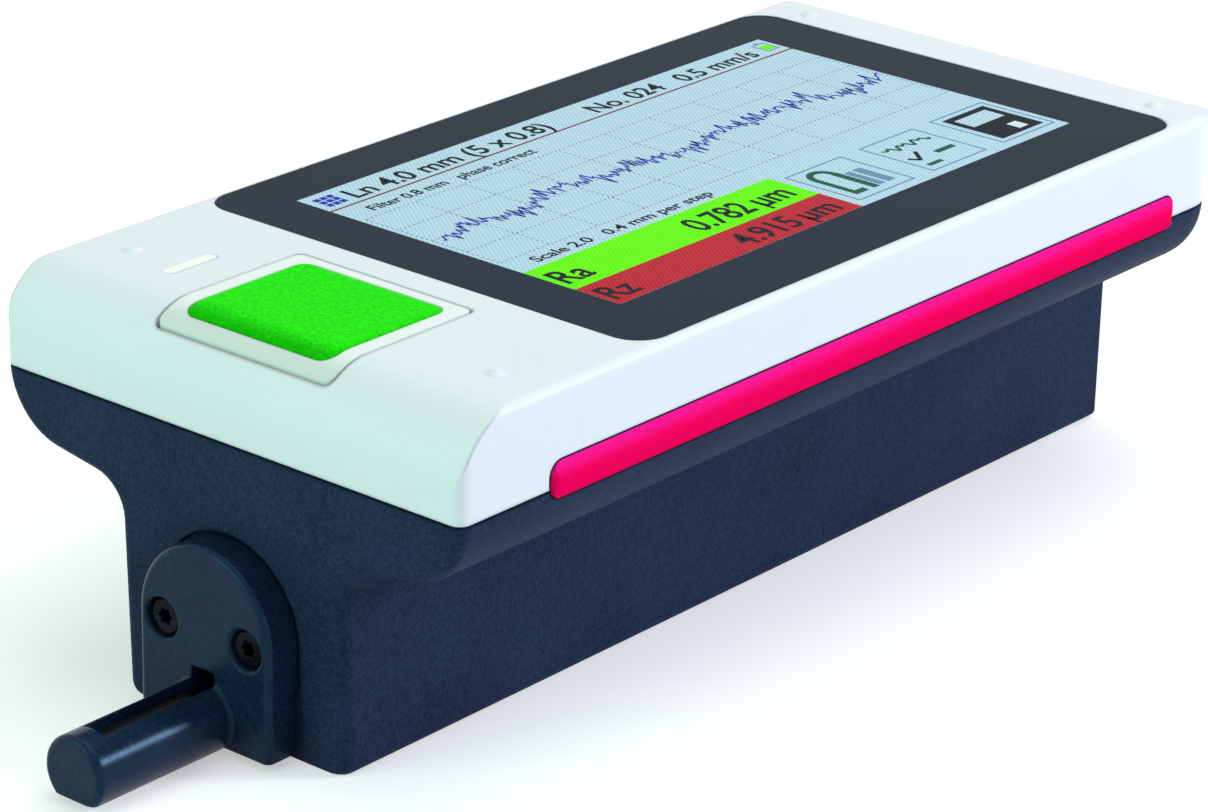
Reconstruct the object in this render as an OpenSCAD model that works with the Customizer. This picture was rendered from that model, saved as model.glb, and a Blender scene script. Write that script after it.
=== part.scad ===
// Surface roughness tester: a two-part moulded housing with a display and a start key on top,
// a drive box along the underside, and a pick-up that runs inside a slotted guard at the front.
// Millimetres, +Z up. The pick-up looks out along -Y, and the origin lies on the base.

/* [Housing] */
// Width across the side walls
body_w = 75.6; // [72:0.2:84]
// Length of the two shells
body_l = 158; // [152:1:176]
// Height of the display above the base
body_h = 51.6; // [50:0.2:58]
// Height of the upper shell above the joint
deck_h = 12.7; // [12:0.1:14]
// Wall thickness of both shells
wall = 2.2; // [1.9:0.1:2.5]
// Width of the drive box under the flange
box_w = 37.3; // [36:0.1:42]
// Radius of the flange's lower edge
flange_r = 9.7; // [8.8:0.1:11]
// Fillet between the flange and the drive box
root_r = 5; // [3:0.1:6]
// Slope of the flange's underside, in degrees
under_slope = 9; // [4:0.5:14]
// Rounding of the drive box's lower long edges
foot_r = 1.2; // [0.6:0.1:2]
// Radius of the upper shell's rolled front
nose_r = 9.2; // [7:0.1:11]
// Rounding round the front face
edge_r = 1.6; // [1:0.1:3]
// Rounding of the rear corners, seen from above
rear_corner_r = 7; // [5:0.1:7.5]
// Rounding of the upper shell's rear top edge
rear_top_r = 3; // [2:0.1:4]
// Rounding of the upper shell's long top edges
side_top_r = 1.2; // [0.8:0.1:1.3]
// How far the front face leans back from the joint to the base
front_lean = 1.5; // [0.5:0.1:2.5]
// How far the drive box stands out behind the flange
rear_step = 1; // [0.5:0.1:2]
// Height of the shadow gap at the joint
shadow_gap = 0.4; // [0.2:0.05:0.6]
// Depth of the shadow gap at the joint
shadow_depth = 0.7; // [0.4:0.05:1]

/* [Display] */
// Margin of white shell beside the cover glass
glass_side = 1.3; // [1.2:0.1:3]
// Distance from the front end to the cover glass
glass_front = 33.2; // [31:0.1:35]
// Thickness of the cover glass
glass_t = 1.6; // [1:0.1:1.8]
// Corner radius of the cover glass
glass_corner_r = 4.5; // [2:0.1:6]
// Distance from the rear end to the cover glass
glass_rear = 10.5; // [9.5:0.1:12]
// Margin of the cover glass beside the display panel
panel_side = 2.9; // [2.8:0.1:6]
// Thickness of the display panel
panel_t = 3; // [2:0.1:3.4]
// Sideways offset of the display panel
panel_x = -1.15; // [-1.3:0.05:1.3]
// Distance from the cover glass's front edge to the panel
panel_front = 3.5; // [3:0.1:5]
// Distance from the cover glass's rear edge to the panel
panel_rear = 5.3; // [3:0.1:8]

/* [Start key] */
// Width of the key
key_w = 28.8; // [24:0.1:32]
// Length of the key
key_l = 25; // [22:0.1:25.2]
// Distance from the key to the cover glass
key_glass = 5; // [4.4:0.1:6]
// Thickness of the key
key_t = 3.1; // [3:0.1:3.5]
// Depth of the key's front edge below the deck
key_depth = 6.2; // [5:0.1:8]
// Corner radius of the key
key_corner_r = 1.2; // [0.6:0.1:2]
// Gap round the key
key_gap = 0.35; // [0.25:0.05:0.5]
// Width of the lip that holds the key in
key_lip = 1.2; // [0.8:0.1:1.4]
// Distance the key travels
key_travel = 0.8; // [0.4:0.1:1]
// White margin beside the green pad
pad_side = 2.3; // [1.5:0.1:4]
// White margin behind the green pad
pad_rear = 1.7; // [1.2:0.1:3]
// White margin in front of the green pad
pad_front = 2; // [1.2:0.1:3]
// Depth of the pad in the key
pad_t = 1.2; // [0.6:0.1:1.6]
// How far the pad stands out of the key
pad_proud = 0.25; // [0.1:0.05:0.5]
// Corner radius of the pad
pad_corner_r = 2; // [1:0.1:3]
// Diameter of the post under the key
post_d = 4; // [3:0.1:5]
// Wall of the silicone dome under the post
dome_t = 0.6; // [0.4:0.1:0.9]

/* [Top details] */
// Width of the status light
light_w = 1.8; // [1.2:0.1:2.4]
// Length of the status light
light_l = 8.5; // [6:0.1:10]
// Distance from the side wall to the middle of the status light
light_side = 16.1; // [15.5:0.1:17]
// Distance from the front to the status light
light_front = 12.1; // [11.5:0.1:14]
// Base diameter of the four locating nubs
nub_d = 2.6; // [1.6:0.1:3.2]
// Height of the four locating nubs
nub_h = 0.5; // [0.3:0.05:0.8]
// Distance from the side walls to the nubs
nub_side = 7.8; // [5:0.1:12]
// Distance from the front to the front nubs
nub_front = 14.8; // [14.4:0.1:18]
// Distance from the rear to the rear nubs
nub_rear = 6.5; // [5:0.1:7.5]

/* [Side strips] */
// Height of a side strip
strip_h = 4.8; // [4:0.1:5.4]
// How far a strip reaches below the joint
strip_drop = 1.5; // [1:0.1:2]
// Distance from the front to a strip
strip_front = 15.6; // [14:0.1:20]
// Distance from the rear to a strip
strip_rear = 12.7; // [9:0.1:18]
// Depth of a strip in the housing
strip_depth = 1.2; // [0.8:0.1:1.4]
// How far a strip bulges out of the housing
strip_bulge = 0.7; // [0.4:0.05:1]
// Corner radius of a strip
strip_corner_r = 1.9; // [0.8:0.1:2]
// Gap round a strip
strip_gap = 0.12; // [0.05:0.01:0.2]

/* [Pick-up guard] */
// Width of the guard plate
guard_w = 21.8; // [21:0.1:26]
// Thickness of the guard plate
guard_t = 5.4; // [5:0.1:6.5]
// Top of the guard plate above the base
guard_top = 26.4; // [25:0.1:28]
// Height of the guard's underside above the base
guard_lift = 1.1; // [0.8:0.1:1.4]
// Rounding of the guard plate's front edge
guard_edge_r = 0.9; // [0.4:0.1:1.2]
// Gap between the guard plate and its recess
guard_gap = 0.5; // [0.3:0.1:0.8]
// Outer diameter of the guard tube
tube_d = 9.6; // [9.2:0.1:10.4]
// Bore of the guard tube
tube_bore = 6.8; // [6.4:0.1:7]
// Length of the guard tube in front of the plate
tube_l = 21.9; // [20.6:0.1:24]
// Height of the tube's axis above the base
tube_z = 4.4; // [4.2:0.05:4.6]
// Thickness of the tube's closed end
tube_end = 3.5; // [2.4:0.1:4]
// Rounding of the tube's closed end
tube_end_r = 0.9; // [0.4:0.1:1.4]
// Width of the viewing slot along the top
slot_w = 3.8; // [3:0.1:4.4]
// Height of the viewing slot above the base
slot_top = 10.5; // [9.6:0.1:11]
// Width of the slot along the underside
foot_slot_w = 4.6; // [4:0.1:5.4]
// Spacing of the two guard screws
guard_screw_pitch = 14; // [13.4:0.1:15]
// Height of the guard screws above the base
guard_screw_z = 15.1; // [14:0.1:16]
// Counterbore for the guard screws
guard_counterbore = 5.2; // [4.6:0.1:5.6]
// Depth of that counterbore
guard_sink = 2.9; // [2.6:0.1:3.3]
// Chamfer at the mouth of that counterbore
guard_sink_chamfer = 0.3; // [0.1:0.05:0.5]
// Height of the rebates at the foot of the plate
rebate_h = 8.4; // [6:0.1:10]
// Length of those rebates along the plate's edge
rebate_l = 1.7; // [1:0.1:2.4]
// Depth of those rebates
rebate_t = 0.6; // [0.3:0.1:1]

/* [Screws] */
// Thread diameter of the guard screws
guard_screw_d = 2.2; // [2:0.1:2.6]
// Head diameter of the guard screws
guard_head_d = 4.4; // [4:0.1:4.5]
// Head height of the guard screws
guard_head_h = 2.2; // [1.8:0.1:2.6]
// Thread diameter of the case and board screws
screw_d = 2.4; // [2:0.1:2.6]
// Head diameter of the case and board screws
head_d = 4.2; // [3.8:0.1:4.6]
// Head height of the case and board screws
head_h = 1.7; // [1.4:0.1:2]
// Star sockets of the screws across their points
star_d = 2.3; // [1.8:0.1:2.4]
// Length of the case screws under the head
case_screw_l = 14; // [12:0.5:15]
// Length of the board screws under the head
board_screw_l = 6; // [4:0.5:8]

/* [Electronics] */
// Gap between the main board and the screw bosses
board_gap = 0.9; // [0.6:0.1:1.4]
// Thickness of the main board
board_t = 1.6; // [1:0.1:2]
// Height of the main board above the joint
board_lift = 2.1; // [1.6:0.1:2.6]
// Distance from the ends of the shells to the main board
board_end = 9; // [8.6:0.1:12]
// Width of the data socket
data_w = 7.6; // [7:0.1:9]
// Height of the data socket
data_h = 3; // [2.6:0.1:3.4]
// Length of the data socket
data_l = 10; // [9.8:0.1:12]
// Place of the data socket across the rear
data_x = 9; // [6:0.5:14]
// Width of the card socket
card_w = 13; // [12:0.1:15]
// Height of the card socket
card_h = 1.9; // [1.6:0.1:2.2]
// Length of the card socket
card_l = 21; // [20:0.1:23]
// Place of the card socket across the rear
card_x = -9; // [-12:0.5:-7]
// Gap between the motor and the battery pack
battery_gap = 6; // [4:0.5:12]
// Height of the battery pack
battery_h = 24; // [18:0.5:30]

/* [Traverse] */
// Stroke of the carriage
travel = 17.5; // [10:0.5:18]
// Height of the lead screw's axis above the base
drive_z = 18; // [17:0.1:19]
// Outer diameter of the lead screw
lead_d = 5; // [4.6:0.1:5.2]
// Diameter of the lead screw's journals
journal_d = 4; // [3.4:0.1:4.2]
// Diameter of the guide rods
rod_d = 4; // [3:0.1:4.4]
// Gap between the carriage and the walls of the drive box
carriage_gap = 0.95; // [0.4:0.05:1.2]
// Thickness of the drive frame's upright plates
plate_t = 5; // [4.4:0.1:6]
// Thickness of the drive frame's bridge
bridge_t = 2.5; // [2:0.1:3.5]
// Clear height between the lead screw's axis and the bridge
bridge_lift = 6.4; // [6.2:0.1:7]
// Outer diameter of the screw bearings
bearing_d = 9; // [8:0.1:9.4]
// Width of the screw bearings
bearing_t = 3; // [2.4:0.1:3.4]
// Length of the carriage
carriage_l = 22; // [20:0.5:24]
// Wall round the bores of the carriage
carriage_wall = 1.8; // [1.4:0.1:2]
// Wall of the guide bushes
bush_t = 1.2; // [1:0.1:1.4]
// Length of a guide bush
bush_l = 6; // [4:0.5:8]
// Wall of the lead nut
nut_t = 1.6; // [1.2:0.1:1.8]
// Length of the home switch along the stroke
switch_l = 3.6; // [3:0.1:4]
// Diameter of the shaft coupling
coupling_d = 9; // [8:0.1:9.4]
// Length of the shaft coupling
coupling_l = 12; // [10:0.5:14]
// Diameter of the gear motor
motor_d = 16; // [15.4:0.1:18]
// Length of the motor's gear head
gearhead_l = 18; // [14:0.5:20]
// Length of the motor behind its gear head
motor_l = 22; // [18:0.5:24]
// Diameter of the motor shaft
shaft_d = 3; // [2:0.1:3.4]

/* [Pick-up] */
// Diameter of the pick-up's plug
plug_d = 3.4; // [3:0.1:3.6]
// Diameter of the pick-up's tube
pickup_d = 4.2; // [4:0.1:4.4]
// Diameter of the pick-up's nose
nose_d = 3.4; // [3.2:0.1:3.6]
// Bore of the nose
nose_bore = 2.4; // [2.2:0.1:2.6]
// Length of the nose
nose_l = 12; // [10:0.5:13]
// Gap between the nose and the tube's closed end
nose_gap = 0.5; // [0.3:0.1:0.8]
// Distance from the nose's end to the stylus tip
tip_back = 1.7; // [1.6:0.1:2.2]
// Distance from the stylus tip to its pivot
stylus_l = 13; // [12.6:0.1:16]
// Diameter of the stylus lever
lever_d = 0.8; // [0.6:0.05:1]
// Diameter of the stylus shaft that holds the tip
tip_d = 0.5; // [0.4:0.05:0.6]
// Diameter of the pivot pin
pin_d = 0.8; // [0.6:0.05:0.9]
// Width of the skid
skid_w = 1.6; // [1.2:0.1:2]
// Clearance of the skid above the base
skid_lift = 0.02; // [0.01:0.01:0.05]

/* [Hidden] */
$fn = 96;
// Clearances: parts that sit still, parts that run, and cuts that run past a face
fit = 0.02;
run = 0.05;
slip = 0.15;
past = 1;
// Housing
half_w = body_w / 2;
front_y = -body_l / 2;
rear_y = body_l / 2;
half_box = box_w / 2;
parting_z = body_h - deck_h;
under_z = parting_z - flange_r;
floor_z = under_z + wall;
box_front = front_y + front_lean;
box_inner_front = box_front + wall;
// Centres of the flange's edge and of the root fillet, with the sloping underside touching both
flange_x = half_w - flange_r;
root_x = half_box + root_r;
root_z = parting_z - (flange_r + root_r + (flange_x - root_x) * sin(under_slope)) / cos(under_slope);
min_r = 0.3;
edge_steps = 6;
flange_steps = 12;
root_steps = 8;
foot_steps = 3;
// Bosses and posts, clear of the board and of the drive box
boss_d = 6.4;
boss_x = flange_x;
boss_end = 11;
screw_sink = 3;
board_w = 2 * (boss_x - boss_d / 2 - board_gap);
board_l = body_l - 2 * board_end;
post_edge = 2.95;
post_x = board_w / 2 - post_edge;
post_end = 29;
post_wide = 4.8;
// Display
glass_y1 = rear_y - glass_rear;
glass_y0 = front_y + glass_front;
glass_w = body_w - 2 * glass_side;
glass_l = glass_y1 - glass_y0;
glass_z = body_h - glass_t;
panel_w = glass_w - 2 * panel_side;
panel_l = glass_l - panel_front - panel_rear;
panel_y0 = glass_y0 + panel_front;
// Key
key_y1 = glass_y0 - key_glass;
key_y0 = key_y1 - key_l;
post_y = key_y1 - key_l * 0.42;
board_z = parting_z + board_lift;
board_top = board_z + board_t;
dome_closed = 2.6;
dome_z = board_top + dome_closed + key_travel;
light_x = half_w - light_side;
nub_x = half_w - nub_side;
// Guard
guard_y0 = box_front - guard_t;
tube_y0 = guard_y0 - tube_l;
slot_y0 = tube_y0 + tube_end;
guard_r = guard_w / 2;
guard_round_z = guard_top - guard_r;
// Drive
plate_y = box_inner_front;
plate_back = plate_y + plate_t;
half_frame = half_box - wall - slip;
bridge_z = drive_z + bridge_lift;
end_play = 0.6;
carriage_y0 = plate_back + switch_l + end_play;
carriage_y1 = carriage_y0 + carriage_l;
rear_plate_y = carriage_y1 + travel + past;
rear_plate_back = rear_plate_y + plate_t;
coupling_y = rear_plate_back + end_play;
motor_plate_y = coupling_y + coupling_l + end_play;
motor_plate_t = 4;
motor_y = motor_plate_y + motor_plate_t;
rod_seat = 3;
bush_d = rod_d + 2 * bush_t;
nut_d = lead_d + 2 * nut_t;
lobe_d = bush_d + 2 * carriage_wall;
rod_x = half_box - wall - carriage_gap - lobe_d / 2;
motor_cap_l = 2;
motor_end = motor_y + gearhead_l + motor_l + motor_cap_l;
motor_screw_inset = 1.6;
motor_screw_x = motor_d / 2 - motor_screw_inset;
motor_screw_d = 2;
motor_head_d = 3;
motor_head_h = 1.2;
// Pick-up
holder_wall = 1.8;
holder_w = plug_d + 2 * holder_wall;
holder_l = 16;
plug_l = 12;
holder_gap = 0.3;
holder_z = wall + holder_gap;
nose_y0 = slot_y0 + nose_gap;
tip_y = nose_y0 + tip_back;
pivot_y = tip_y + stylus_l;
tip_z = 0.05;
hub_d = 1.7;
tail_l = 3;

// Shapes and placements that several pieces share

// A 2D shape in Y and Z, run along X
module along_x(x0, x1) {
    translate([x0, 0, 0]) rotate([90, 0, 90]) linear_extrude(x1 - x0) children();
}

// A 2D shape in X and Z, run along Y
module along_y(y0, y1) {
    translate([0, y1, 0]) rotate([90, 0, 0]) linear_extrude(y1 - y0) children();
}

// A round bar along Y
module bar(d, y0, y1, x = 0, z = drive_z) {
    translate([x, y1, z]) rotate([90, 0, 0]) cylinder(d = d, h = y1 - y0);
}

// A round bar along X
module cross_bar(d, length, y, z) {
    translate([-length / 2, y, z]) rotate([0, 90, 0]) cylinder(d = d, h = length);
}

// What a rounding takes off the square corner that lies at the origin
module corner_cut(r) {
    difference() {
        translate([-r, -r]) square(r + past);
        translate([-r, -r]) circle(r);
    }
}

// A rectangle from its lower corner, with equal round corners
module rounded(x, y, w, l, r) {
    difference() {
        translate([x, y]) square([w, l]);
        for (sx = [0, 1], sy = [0, 1])
            translate([x + sx * w, y + sy * l]) mirror([1 - sx, 0]) mirror([0, 1 - sy]) corner_cut(r);
    }
}

// A slot with half-round ends, from its lower corner along Y
module stadium(x, y, w, l) {
    translate([x, y + w / 2]) square([w, l - w]);
    for (end = [w / 2, l - w / 2])
        translate([x + w / 2, y + end]) circle(d = w);
}

function inner_r(r, inset) = max(r - inset, min_r);

// Outline of the shells from above, inset from their walls
module plan(inset) {
    w = half_w - inset;
    y0 = front_y + inset;
    y1 = rear_y - inset;
    difference() {
        translate([-w, y0]) square([2 * w, y1 - y0]);
        for (sx = [0, 1]) mirror([sx, 0]) {
            translate([w, y0]) mirror([0, 1]) corner_cut(inner_r(edge_r, inset));
            translate([w, y1]) corner_cut(inner_r(rear_corner_r, inset));
        }
    }
}

// The upper shell's form as a solid, inset from its outer faces, from a given height up
module upper_form(inset, bottom = parting_z) {
    top = body_h - inset;
    intersection() {
        translate([0, 0, bottom]) linear_extrude(top - bottom) plan(inset);
        along_x(-half_w - past, half_w + past) difference() {
            translate([front_y + inset, bottom]) square([body_l - 2 * inset, top - bottom]);
            translate([front_y + inset, top]) mirror([1, 0]) corner_cut(nose_r - inset);
            translate([rear_y - inset, top]) corner_cut(inner_r(rear_top_r, inset));
        }
        along_y(front_y - past, rear_y + past) difference() {
            translate([inset - half_w, bottom]) square([body_w - 2 * inset, top - bottom]);
            for (sx = [0, 1]) mirror([sx, 0])
                translate([half_w - inset, top]) corner_cut(inner_r(side_top_r, inset));
        }
    }
}

// A layer of the upper shell between two insets
module upper_layer(outer, inner) {
    difference() {
        upper_form(outer);
        upper_form(inner, parting_z - past);
    }
}

// Points of an arc, wide and high radius given apart
function arc(x, z, rx, rz, a0, a1, steps) =
    [for (i = [0:steps]) let (a = a0 + (a1 - a0) * i / steps) [x + rx * cos(a), z + rz * sin(a)]];

// Right half of the lower housing's section, from the joint down, with all faces but the base inset
// and the flange narrowed by a further amount
function half_section(inset, narrow) =
    concat(
        arc(flange_x, parting_z, flange_r - inset - narrow, flange_r - inset,
            0, under_slope - 90, flange_steps),
        arc(root_x, root_z, root_r + inset, root_r + inset, 90 + under_slope, 180, root_steps),
        arc(half_box - inset - foot_r, foot_r, foot_r, foot_r, 0, -90, foot_steps));

function mirrored(half) =
    concat(half, [for (i = [len(half) - 1:-1:0]) [-half[i][0], half[i][1]]]);

// Sections round the front edge, where the face leans back towards the base
front_sections = [for (i = [0:edge_steps])
    let (a = 90 * i / edge_steps)
    [for (p = mirrored(half_section(edge_r * (1 - sin(a)), 0)))
        [p[0], front_y + front_lean * (1 - p[1] / parting_z) + edge_r * (1 - cos(a)), p[1]]]];

// Sections round the rear corners of the flange
rear_sections = [for (i = [0:edge_steps])
    let (a = 90 * i / edge_steps)
    [for (p = mirrored(half_section(0, rear_corner_r * (1 - cos(a)))))
        [p[0], rear_y - rear_corner_r * (1 - sin(a)), p[1]]]];

// A closed skin over mirrored sections of equal point count. Each end is closed by strips that run
// across from one half of the section to the other, and the first end looks out along -Y.
module loft(sections) {
    n = len(sections[0]);
    last = (len(sections) - 1) * n;
    sides = [for (i = [0:len(sections) - 2], j = [0:n - 1])
        let (a = i * n + j, b = i * n + (j + 1) % n)
        each [[a, a + n, b + n], [a, b + n, b]]];
    strips = [for (j = [0:n / 2 - 2]) each [[j, j + 1, n - 2 - j], [j, n - 2 - j, n - 1 - j]]];
    ends = [for (t = strips) each [t, [last + t[2], last + t[1], last + t[0]]]];
    polyhedron([for (s = sections) each s], concat(sides, ends));
}

module four_corners(x, y_front, y_rear) {
    for (sx = [-1, 1], y = [y_front, y_rear]) translate([sx * x, y, 0]) children();
}

module case_screw_places() {
    four_corners(boss_x, front_y + boss_end, rear_y - boss_end) children();
}

module board_screw_places() {
    four_corners(post_x, front_y + post_end, rear_y - post_end) children();
}

// Groove of a side strip, or its body when the clearance is nothing
module strip_block(clear) {
    along_x(half_w - strip_depth - clear, half_w + strip_bulge + past)
        rounded(front_y + strip_front - clear, parting_z - strip_drop - clear,
            body_l - strip_front - strip_rear + 2 * clear, strip_h + 2 * clear,
            strip_corner_r);
}

module strip_grooves() {
    for (sx = [0, 1]) mirror([sx, 0, 0]) strip_block(strip_gap);
}

// The guard plate's outline, a round-topped tongue that runs down past the base
module tongue(r, bottom) {
    translate([-r, bottom]) square([2 * r, guard_round_z - bottom]);
    translate([0, guard_round_z]) circle(r);
}

module guard_screw_places() {
    for (sx = [-1, 1]) translate([sx * guard_screw_pitch / 2, 0, guard_screw_z]) children();
}

// A six-lobed star socket
module star(d) {
    lobe_d = d / 4;
    circle(d = d - lobe_d);
    for (a = [0:60:300]) rotate(a) translate([(d - lobe_d) / 2, 0]) circle(d = lobe_d);
}

// A cap screw that hangs head up at the origin, with its shank down along -Z
module cap_screw(d, l, cap_d, cap_h) {
    difference() {
        union() {
            translate([0, 0, -l]) cylinder(d = d, h = l);
            cylinder(d = cap_d, h = cap_h);
        }
        translate([0, 0, cap_h * 0.4]) linear_extrude(cap_h) star(min(star_d, cap_d * 0.55));
    }
}

// Housing

// Dark lower housing: a flange with a rolled edge over a narrow drive box, moulded in one
module lower_shell() color("#2e3b4e") {
    difference() {
        union() {
            difference() {
                union() {
                    loft(concat(front_sections, rear_sections));
                    along_y(rear_y - wall, rear_y + rear_step) difference() {
                        translate([-half_box, 0]) square([box_w, under_z]);
                        for (sx = [0, 1]) mirror([sx, 0])
                            translate([half_box, 0]) mirror([0, 1]) corner_cut(foot_r);
                    }
                }
                flange_cavity();
                box_cavity();
            }
            case_screw_places() translate([0, 0, floor_z - wall / 2])
                cylinder(d = boss_d, h = parting_z - floor_z + wall / 2);
            board_screw_places() translate([0, 0, floor_z - wall / 2])
                cylinder(d = post_wide, h = board_z - floor_z + wall / 2);
        }
        along_y(front_y - past, box_front) tongue(guard_r + guard_gap, -past);
        bar(tube_bore, box_front - past, box_inner_front + past, z = tube_z);
        guard_screw_places() translate([0, box_inner_front + past, 0]) rotate([90, 0, 0])
            cylinder(d = guard_screw_d + 2 * slip, h = wall + 2 * past);
        strip_grooves();
        translate([0, 0, parting_z - shadow_gap]) linear_extrude(shadow_gap + past) difference() {
            plan(-past);
            plan(shadow_depth);
        }
        case_screw_places() {
            cylinder(d = screw_d + 2 * slip, h = parting_z + past);
            cylinder(d = head_d + 2 * slip, h = under_z + screw_sink);
        }
        board_screw_places() translate([0, 0, board_z - board_screw_l])
            cylinder(d = screw_d + 2 * fit, h = board_screw_l + past);
    }
}

module flange_cavity() {
    intersection() {
        translate([0, 0, floor_z]) linear_extrude(flange_r) plan(wall);
        along_y(front_y + front_lean + wall, rear_y) difference() {
            translate([wall - half_w, floor_z]) square([body_w - 2 * wall, flange_r]);
            for (sx = [0, 1]) mirror([sx, 0])
                translate([half_w - wall, floor_z]) mirror([0, 1]) corner_cut(flange_r - wall);
        }
    }
}

module box_cavity() {
    translate([wall - half_box, box_inner_front, wall])
        cube([box_w - 2 * wall, rear_y - wall - box_inner_front, parting_z]);
}

// White upper housing, one moulding with the rolled front, the glass seat and four locating nubs
module upper_shell() color("#eef3f5") {
    difference() {
        union() {
            upper_layer(0, wall);
            intersection() {
                upper_form(wall / 2);
                case_screw_places() translate([0, 0, parting_z]) cylinder(d = boss_d, h = deck_h);
            }
            four_corners(nub_x, front_y + nub_front, rear_y - nub_rear) nub();
        }
        translate([0, 0, glass_z]) linear_extrude(glass_t + past)
            rounded(-glass_w / 2 - slip, glass_y0 - slip, glass_w + 2 * slip, glass_l + 2 * slip,
                glass_corner_r);
        translate([panel_x - panel_w / 2 - slip, panel_y0 - slip, parting_z])
            cube([panel_w + 2 * slip, panel_l + 2 * slip, deck_h]);
        translate([0, 0, parting_z]) linear_extrude(deck_h + past) key_plan(key_gap);
        translate([0, 0, parting_z]) linear_extrude(deck_h + past) light_plan(fit);
        strip_grooves();
        case_screw_places() translate([0, 0, parting_z - past])
            cylinder(d = screw_d + 2 * fit, h = case_screw_l - parting_z + under_z + screw_sink + 2 * past);
        translate([data_x - data_w / 2 - slip, rear_y - wall - past, board_top - slip])
            cube([data_w + 2 * slip, wall + 2 * past, data_h + 2 * slip]);
        translate([card_x - card_w / 2 + past, rear_y - wall - past, board_top])
            cube([card_w - 2 * past, wall + 2 * past, card_h - slip]);
    }
}

// A low round nub, the cap of a sphere
module nub() {
    r = (nub_d * nub_d / 4 + nub_h * nub_h) / (2 * nub_h);
    translate([0, 0, body_h]) intersection() {
        translate([0, 0, nub_h - r]) sphere(r);
        translate([0, 0, -wall / 2]) cylinder(d = nub_d, h = wall / 2 + nub_h);
    }
}

// Red plastic strip let into the joint of the shells, with a bulged outer face and rounded ends
module side_strip() color("#e4174f") {
    bow_r = (strip_h * strip_h / 4 + strip_bulge * strip_bulge) / (2 * strip_bulge);
    end_r = strip_bulge + strip_depth / 2;
    intersection() {
        strip_block(0);
        linear_extrude(body_h) difference() {
            translate([0, front_y + strip_front])
                square([half_w + strip_bulge, body_l - strip_front - strip_rear]);
            translate([half_w + strip_bulge, front_y + strip_front]) mirror([0, 1]) corner_cut(end_r);
            translate([half_w + strip_bulge, rear_y - strip_rear]) corner_cut(end_r);
        }
        translate([half_w + strip_bulge - bow_r, rear_y, parting_z - strip_drop + strip_h / 2])
            rotate([90, 0, 0]) cylinder(r = bow_r, h = body_l);
    }
}

module side_strip_right() { side_strip(); }

module side_strip_left() { mirror([1, 0, 0]) side_strip(); }

// Cover glass, flush in the deck on a narrow ledge
module cover_glass() color("#3f4652") {
    translate([0, 0, glass_z]) linear_extrude(glass_t)
        rounded(-glass_w / 2, glass_y0, glass_w, glass_l, glass_corner_r);
}

// Display panel, bonded to the back of the glass
module display_panel() color("#a9bdd2") {
    translate([panel_x - panel_w / 2, panel_y0, glass_z - panel_t]) cube([panel_w, panel_l, panel_t]);
}

// Start key

module key_plan(margin) {
    rounded(-key_w / 2 - margin, key_y0 - margin, key_w + 2 * margin, key_l + 2 * margin, key_corner_r);
}

module pad_plan(clear) {
    rounded(pad_side - key_w / 2 - clear, key_y0 + pad_front - clear,
        key_w - 2 * pad_side + 2 * clear, key_l - pad_rear - pad_front + 2 * clear, pad_corner_r);
}

// White key that follows the rolled front, held in by a lip under the shell
module start_key() color("#e6ebee") {
    difference() {
        union() {
            intersection() {
                translate([0, 0, body_h - key_depth]) linear_extrude(key_depth) key_plan(0);
                upper_layer(0, key_t);
            }
            intersection() {
                translate([0, 0, body_h - key_depth]) linear_extrude(key_depth) key_plan(key_lip);
                upper_layer(wall + slip, key_t);
            }
            translate([0, post_y, dome_z]) cylinder(d = post_d, h = body_h - key_t / 2 - dome_z);
        }
        intersection() {
            linear_extrude(body_h + past) pad_plan(fit);
            upper_layer(-past, pad_t);
        }
    }
}

// Green rubber pad let into the key
module key_pad() color("#16a51c") {
    intersection() {
        linear_extrude(body_h + past) pad_plan(0);
        upper_layer(-pad_proud, pad_t);
    }
}

// Silicone dome that springs the key back
module key_dome() color("#d8d8d2") {
    top_r = post_d / 2 + dome_t / 2;
    base_r = post_d;
    height = dome_z - board_top;
    translate([0, post_y, board_top]) rotate_extrude() polygon([
        [base_r + dome_t, 0], [base_r + dome_t, dome_t], [base_r, dome_t], [top_r, height], [0, height],
        [0, height - dome_t], [top_r - dome_t, height - dome_t], [base_r - dome_t, 0]]);
}

module light_plan(margin) {
    stadium(-light_x - light_w / 2 - margin, front_y + light_front - margin,
        light_w + 2 * margin, light_l + 2 * margin);
}

// Light pipe that carries a lamp on the board up to the deck
module status_light() color("#f2ecc4") {
    lamp_h = 1;
    collar = 0.7;
    intersection() {
        translate([0, 0, board_top + lamp_h]) linear_extrude(body_h) light_plan(0);
        upper_form(0);
    }
    intersection() {
        linear_extrude(body_h) light_plan(collar);
        upper_layer(wall + fit, wall + collar);
    }
}

// Pick-up guard

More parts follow.
